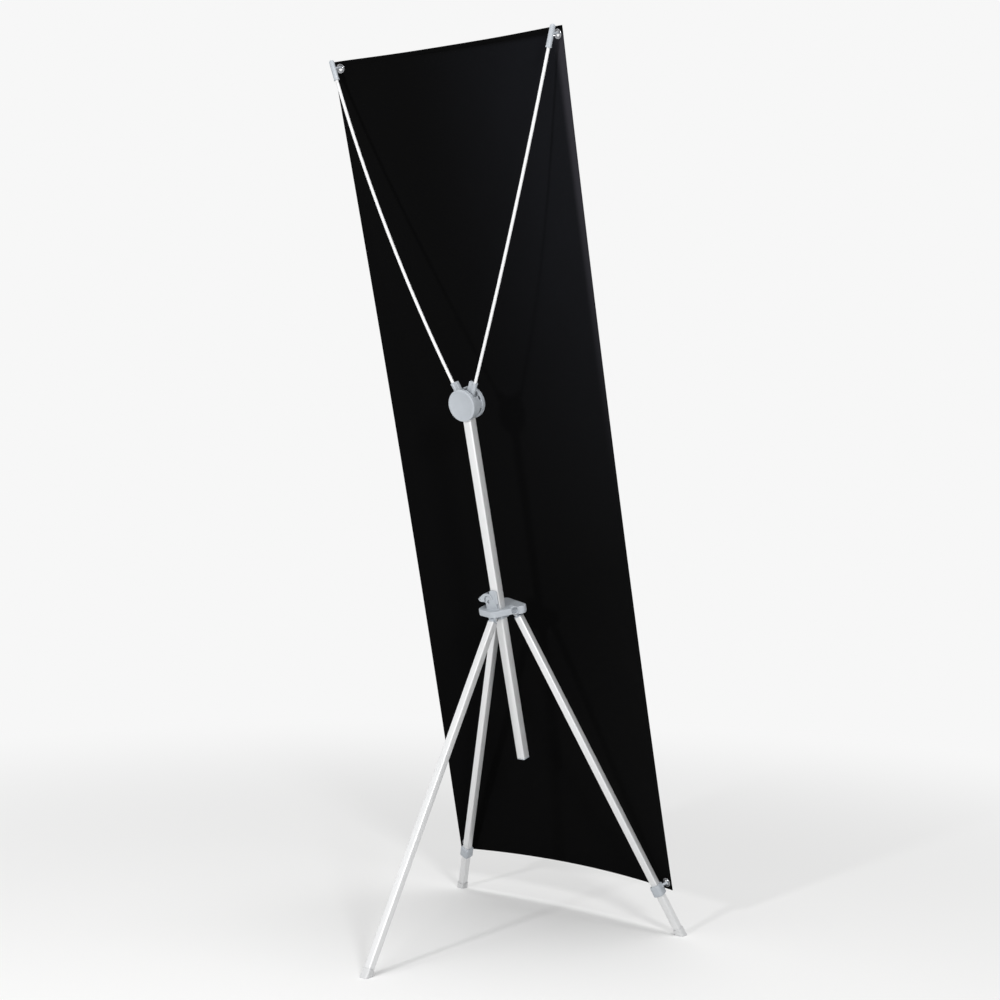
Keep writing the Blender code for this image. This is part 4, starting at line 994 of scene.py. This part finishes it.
film, shader, start = finish("black_sheet", (0.0036, 0.0036, 0.0038), 0.45, specular=0.01)
sheet_spot = start.node("ShaderNodeUVMap", {"uv_map": "flat"})
from_middle = start.node("ShaderNodeSeparateXYZ", None, {0: sheet_spot})
from_top = start.node("ShaderNodeSeparateXYZ", None, {0: sheet_spot}, 1)
# A soft noise that varies the film's roughness and also breaks up its painted reflection.
dust_and_sheen_noise = sheet_spot.noise(7, 4, 0.6)
weave = sheet_spot.noise(2600, 2)
# Painted shade: this mask is 0 on the strip above the upper eyelets, which curls to the rear away from the lamps,
# so that strip gets the plain darkest black and none of the painted reflection or highlight.
painted_flap_shade_mask = smooth(from_top, -0.008, -0.022)
# Painted reflection: the upper part of the back, growing towards its left (-X) side, is painted a lighter bluish
# black, standing in for the bright floor seen in the film's gloss.
upper = smooth(from_top, -1.25, -0.10) * smooth(from_middle, 0.16, -0.30) * (dust_and_sheen_noise * 0.5 + 0.75)
# Painted highlight: a lilac-grey strip along the sheet's left (-X) edge, fading towards the foot, stands in for a
# lamp's gloss on the film's curled edge.
painted_edge_highlight = smooth(from_middle, -0.268, -0.290) * smooth(from_top, -1.0, -0.02) * painted_flap_shade_mask
black = (upper * painted_flap_shade_mask).mixed((0.0028, 0.0028, 0.0029), (0.0076, 0.0080, 0.0098))
drive(shader, "Base Color", painted_edge_highlight.mixed(black, (0.032, 0.031, 0.037)))
drive(shader, "Roughness", weave * 0.14 + dust_and_sheen_noise * 0.10 + 0.33)
bumped(shader, weave, 0.12, 0.0002)

bpy.ops.object.select_all(action="DESELECT")
bpy.ops.mesh.primitive_grid_add(x_subdivisions=sheet_columns, y_subdivisions=sheet_rows, size=1)
sheet = named("hung_sheet")
even_row = (sheet_height - flap_rows * flap_row) / (sheet_rows - flap_rows)
for vertex in sheet.data.vertices:
    row = round((0.5 - vertex.co.y) * sheet_rows)
    down = min(row, flap_rows) * flap_row + max(row - flap_rows, 0) * even_row
    vertex.co = (vertex.co.x * width_at(down), -down, 0)
shaped(sheet, "SOLIDIFY", thickness=sheet_thick, offset=0)
neck_radius = eyelet_bore + eyelet_wall
through = Vector((0, 0, 0.01))
for down in (eyelet_inset, sheet_height - eyelet_inset):
    for side in sides.values():
        spot = Vector((side * (width_at(down) / 2 - eyelet_inset), -down, 0))
        carved(sheet, bar("hole", spot - through, spot + through, neck_radius + gap))
shaped(sheet, "TRIANGULATE")
for layer in list(sheet.data.uv_layers):
    sheet.data.uv_layers.remove(layer)
flat = sheet.data.uv_layers.new(name="flat")
for loop, uv in zip(sheet.data.loops, flat.data):
    spot = sheet.data.vertices[loop.vertex_index].co
    uv.uv = (spot.x, spot.y)
flat_places = []
for vertex in sheet.data.vertices:
    x, y, depth = vertex.co
    across = x / (width_at(-y) / 2)
    flat_places.append((across / hole_across(-y), share_at(-y)))
    bent = sheet_point if -y > eyelet_inset else flap_point
    spot, normal = bent(across, -y)
    vertex.co = spot + normal * depth
only(sheet)
bpy.ops.object.mode_set(mode="EDIT")
bpy.ops.mesh.select_all(action="SELECT")
bpy.ops.mesh.normals_make_consistent(inside=False)
close()
fitted(shaded(sheet), Matrix.Identity(4), "mast", "black_sheet", film, "banner_sheet")


# The eyelets are bright nickel-plated rings, pressed through the sheet's corners: a domed flange on the
# back, rolled over the edge of the hole, and a washer on the front. Each pulls its corner of the sheet.

nickel, shader, start = finish("bright_eyelet", (0.36, 0.365, 0.38), 0.2, 1.0)
place = start.node("ShaderNodeTexCoord", output=3)
tarnish = place.noise(420, 3, 0.6)
drive(shader, "Base Color", tarnish.mixed((0.26, 0.265, 0.275), (0.46, 0.47, 0.49)))
drive(shader, "Roughness", tarnish * 0.16 + 0.12)
bumped(shader, tarnish, 0.06, 0.0002)

half = sheet_thick / 2 + gap
inner_roll = 0.0010
outer_roll = [(-0.0021, 0.45), (-0.0017, 1.05), (-0.0011, 1.35), (-0.0005, 1.10), (-0.0001, 0.5)]
ring = [(eyelet_bore, -half), (eyelet_bore, half)]
for step in range(1, 8):
    turn = math.radians(180 - 180 * step / 8)
    height = half + eyelet_wall * math.sin(turn) * 0.99
    ring.append((eyelet_bore + inner_roll + inner_roll * math.cos(turn), height))
ring.append((eyelet_bore + 2 * inner_roll, half + eyelet_wall * 0.40))
ring += [(eyelet_radius + inward, half + eyelet_wall * height) for inward, height in outer_roll]
ring += [(eyelet_radius, half), (neck_radius, half), (neck_radius, -half), (eyelet_radius, -half)]
ring += [(eyelet_radius - 0.0003, -half - eyelet_wall * 0.5), (eyelet_bore + 0.0012, -half - eyelet_wall)]
ring += [(eyelet_bore + 0.0002, -half - eyelet_wall * 0.7), (eyelet_bore, -half)]

# The shares are full a little before an eyelet, so that the film beside it moves as one with its ring.
across_gain = 0.53
along_gain = 1.02
for name, side in sides.items():
    for level, down, body in (
        ("top", eyelet_inset, f"arm_{name}"),
        ("bottom", sheet_height - eyelet_inset, f"collar_{name}"),
    ):
        spot, normal = sheet_point(side * hole_across(down), down)
        eyelet = spun(f"ring_{level}_{name}", ring, 48)
        place = Matrix.Translation(spot) @ turned_to(-normal)
        fitted(eyelet, place, body, "bright_eyelet", nickel, f"eyelet_{level}_{name}")

        peg = bpy.data.objects.new(f"peg_{level}_{name}", None)
        pull = bpy.data.objects.new(f"pull_{level}_{name}", None)
        for empty in (peg, pull):
            bpy.context.scene.collection.objects.link(empty)
            empty.location = spot
        bpy.context.view_layer.update()
        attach(peg, body)
        pull.constraints.new("COPY_LOCATION").target = peg
        corner = sheet.vertex_groups.new(name=pull.name)
        for index, (out, share) in enumerate(flat_places):
            across = min(max(0.5 + side * out * across_gain, 0.0), 1.0)
            along = min(max(0.5 + (share - 0.5) * along_gain, 0.0), 1.0)
            corner.add([index], across * (along if level == "bottom" else 1 - along), "REPLACE")
        hook = sheet.modifiers.new(pull.name, "HOOK")
        hook.object = pull
        hook.vertex_group = corner.name
        hook.matrix_inverse = Matrix.Translation(-spot)


# Zinc-plated steel pins hold the legs, the arms and the head, three steel screws close the head, and a
# rubber shoe lies between the lever and the mast. These simple pieces keep their solids and get finishes.

rubber, shader, start = finish("dark_rubber", (0.04, 0.04, 0.045), 0.8)
place = start.node("ShaderNodeTexCoord", output=3)
bloom = place.noise(500, 3)
drive(shader, "Base Color", bloom.mixed((0.03, 0.03, 0.034), (0.055, 0.055, 0.06)))
drive(shader, "Roughness", bloom * 0.2 + 0.7)
bumped(shader, bloom, 0.2, 0.0003)
finishes = {"zinc_steel": steel, "dark_rubber": rubber, "grey_plastic": plastic}
for name, node in frame["nodes"].items():
    for slot in node.material_slots:
        plain = slot.material.name.split(".")[0]
        slot.material = finishes.get(plain, steel)


# The studio: a pale floor that fades to white, a hard low lamp behind the stand, and softer ones beside and
# above it. The camera looks from behind and from the stand's left.

view_from = soles["foot_rear_sole"] + Vector((-2.3091, 2.5335, 1.0501))
yaw = math.radians(180 - 38.24)
pitch = math.radians(1.92)
roll = math.radians(0.972)
look = Vector((math.sin(yaw) * math.cos(pitch), math.cos(yaw) * math.cos(pitch), -math.sin(pitch)))
level = Vector((math.cos(yaw), -math.sin(yaw), 0))
across = level * math.cos(roll) + level.cross(look) * math.sin(roll)
camera_data = bpy.data.cameras.new("camera")
camera_data.sensor_width = 36
camera_data.lens = 63.745
camera = bpy.data.objects.new("camera", camera_data)
bpy.context.scene.collection.objects.link(camera)
frame_turn = Matrix((across, across.cross(look), -look)).transposed()
camera.matrix_world = Matrix.Translation(view_from) @ frame_turn.to_4x4()
bpy.context.scene.camera = camera
bpy.context.scene.view_settings.view_transform = "Standard"

backdrop_white = (0.93, 0.93, 0.93, 1)


def background_ray(start):
    """1 for the rays that see the background, straight or in a gloss, and 0 for those that light things."""
    path = start.node("ShaderNodeLightPath").socket.node
    glossy = Link(start.tree, path.outputs["Is Glossy Ray"])
    through = Link(start.tree, path.outputs["Is Transmission Ray"])
    total = Link(start.tree, path.outputs["Is Camera Ray"]) + glossy + through
    return total.maths("MINIMUM", total, 1)


bpy.ops.object.select_all(action="DESELECT")
bpy.ops.mesh.primitive_circle_add(vertices=96, radius=14, fill_type="NGON")
floor = named("floor")
ground = bpy.data.materials.new("pale_floor")
ground.use_nodes = True
ground.node_tree.nodes.clear()
start = Link(ground.node_tree)
place = start.node("ShaderNodeTexCoord", output=3)
far = place.node("ShaderNodeVectorMath", {"operation": "LENGTH"}, {0: place}, 1)
reach = {"Value": far, "From Min": 0.6, "From Max": 3.0, "To Min": 0.22}
fade = far.node("ShaderNodeMapRange", {"interpolation_type": "SMOOTHSTEP"}, reach)
matt = start.node("ShaderNodeBsdfDiffuse", None, {"Color": (0.93, 0.93, 0.925, 1)})
glow = start.node("ShaderNodeEmission", None, {"Color": backdrop_white})
blend = start.node("ShaderNodeMixShader", None, {0: fade * background_ray(start), 1: matt, 2: glow})
start.node("ShaderNodeOutputMaterial", None, {"Surface": blend})
floor.data.materials.append(ground)

world = bpy.data.worlds.new("studio")
bpy.context.scene.world = world
world.use_nodes = True
world.node_tree.nodes.clear()
start = Link(world.node_tree)
light = start.node("ShaderNodeBackground", None, {"Color": (1, 1, 1, 1), "Strength": 0.22})
white = start.node("ShaderNodeBackground", None, {"Color": backdrop_white})
blend = start.node("ShaderNodeMixShader", None, {0: background_ray(start), 1: light, 2: white})
start.node("ShaderNodeOutputWorld", None, {"Surface": blend})


def lamp(name, azimuth, elevation, distance, size, power):
    """A square lamp that shines on the middle of the stand, at an azimuth counted from +Y towards -X."""
    data = bpy.data.lights.new(name, "AREA")
    data.size = size
    data.energy = power
    made = bpy.data.objects.new(name, data)
    bpy.context.scene.collection.objects.link(made)
    turn = math.radians(azimuth)
    rise = math.radians(elevation)
    way = Vector((-math.sin(turn) * math.cos(rise), math.cos(turn) * math.cos(rise), math.sin(rise)))
    made.location = Vector((0, 0, 0.95)) + way * distance
    made.rotation_mode = "QUATERNION"
    made.rotation_quaternion = way.to_track_quat("Z", "Y")


lamp("key_lamp", 3, 9, 4.2, 0.25, 66)
lamp("side_lamp", 54, 20, 5.6, 0.8, 116)
lamp("top_lamp", 20, 82, 6.0, 3.0, 240)
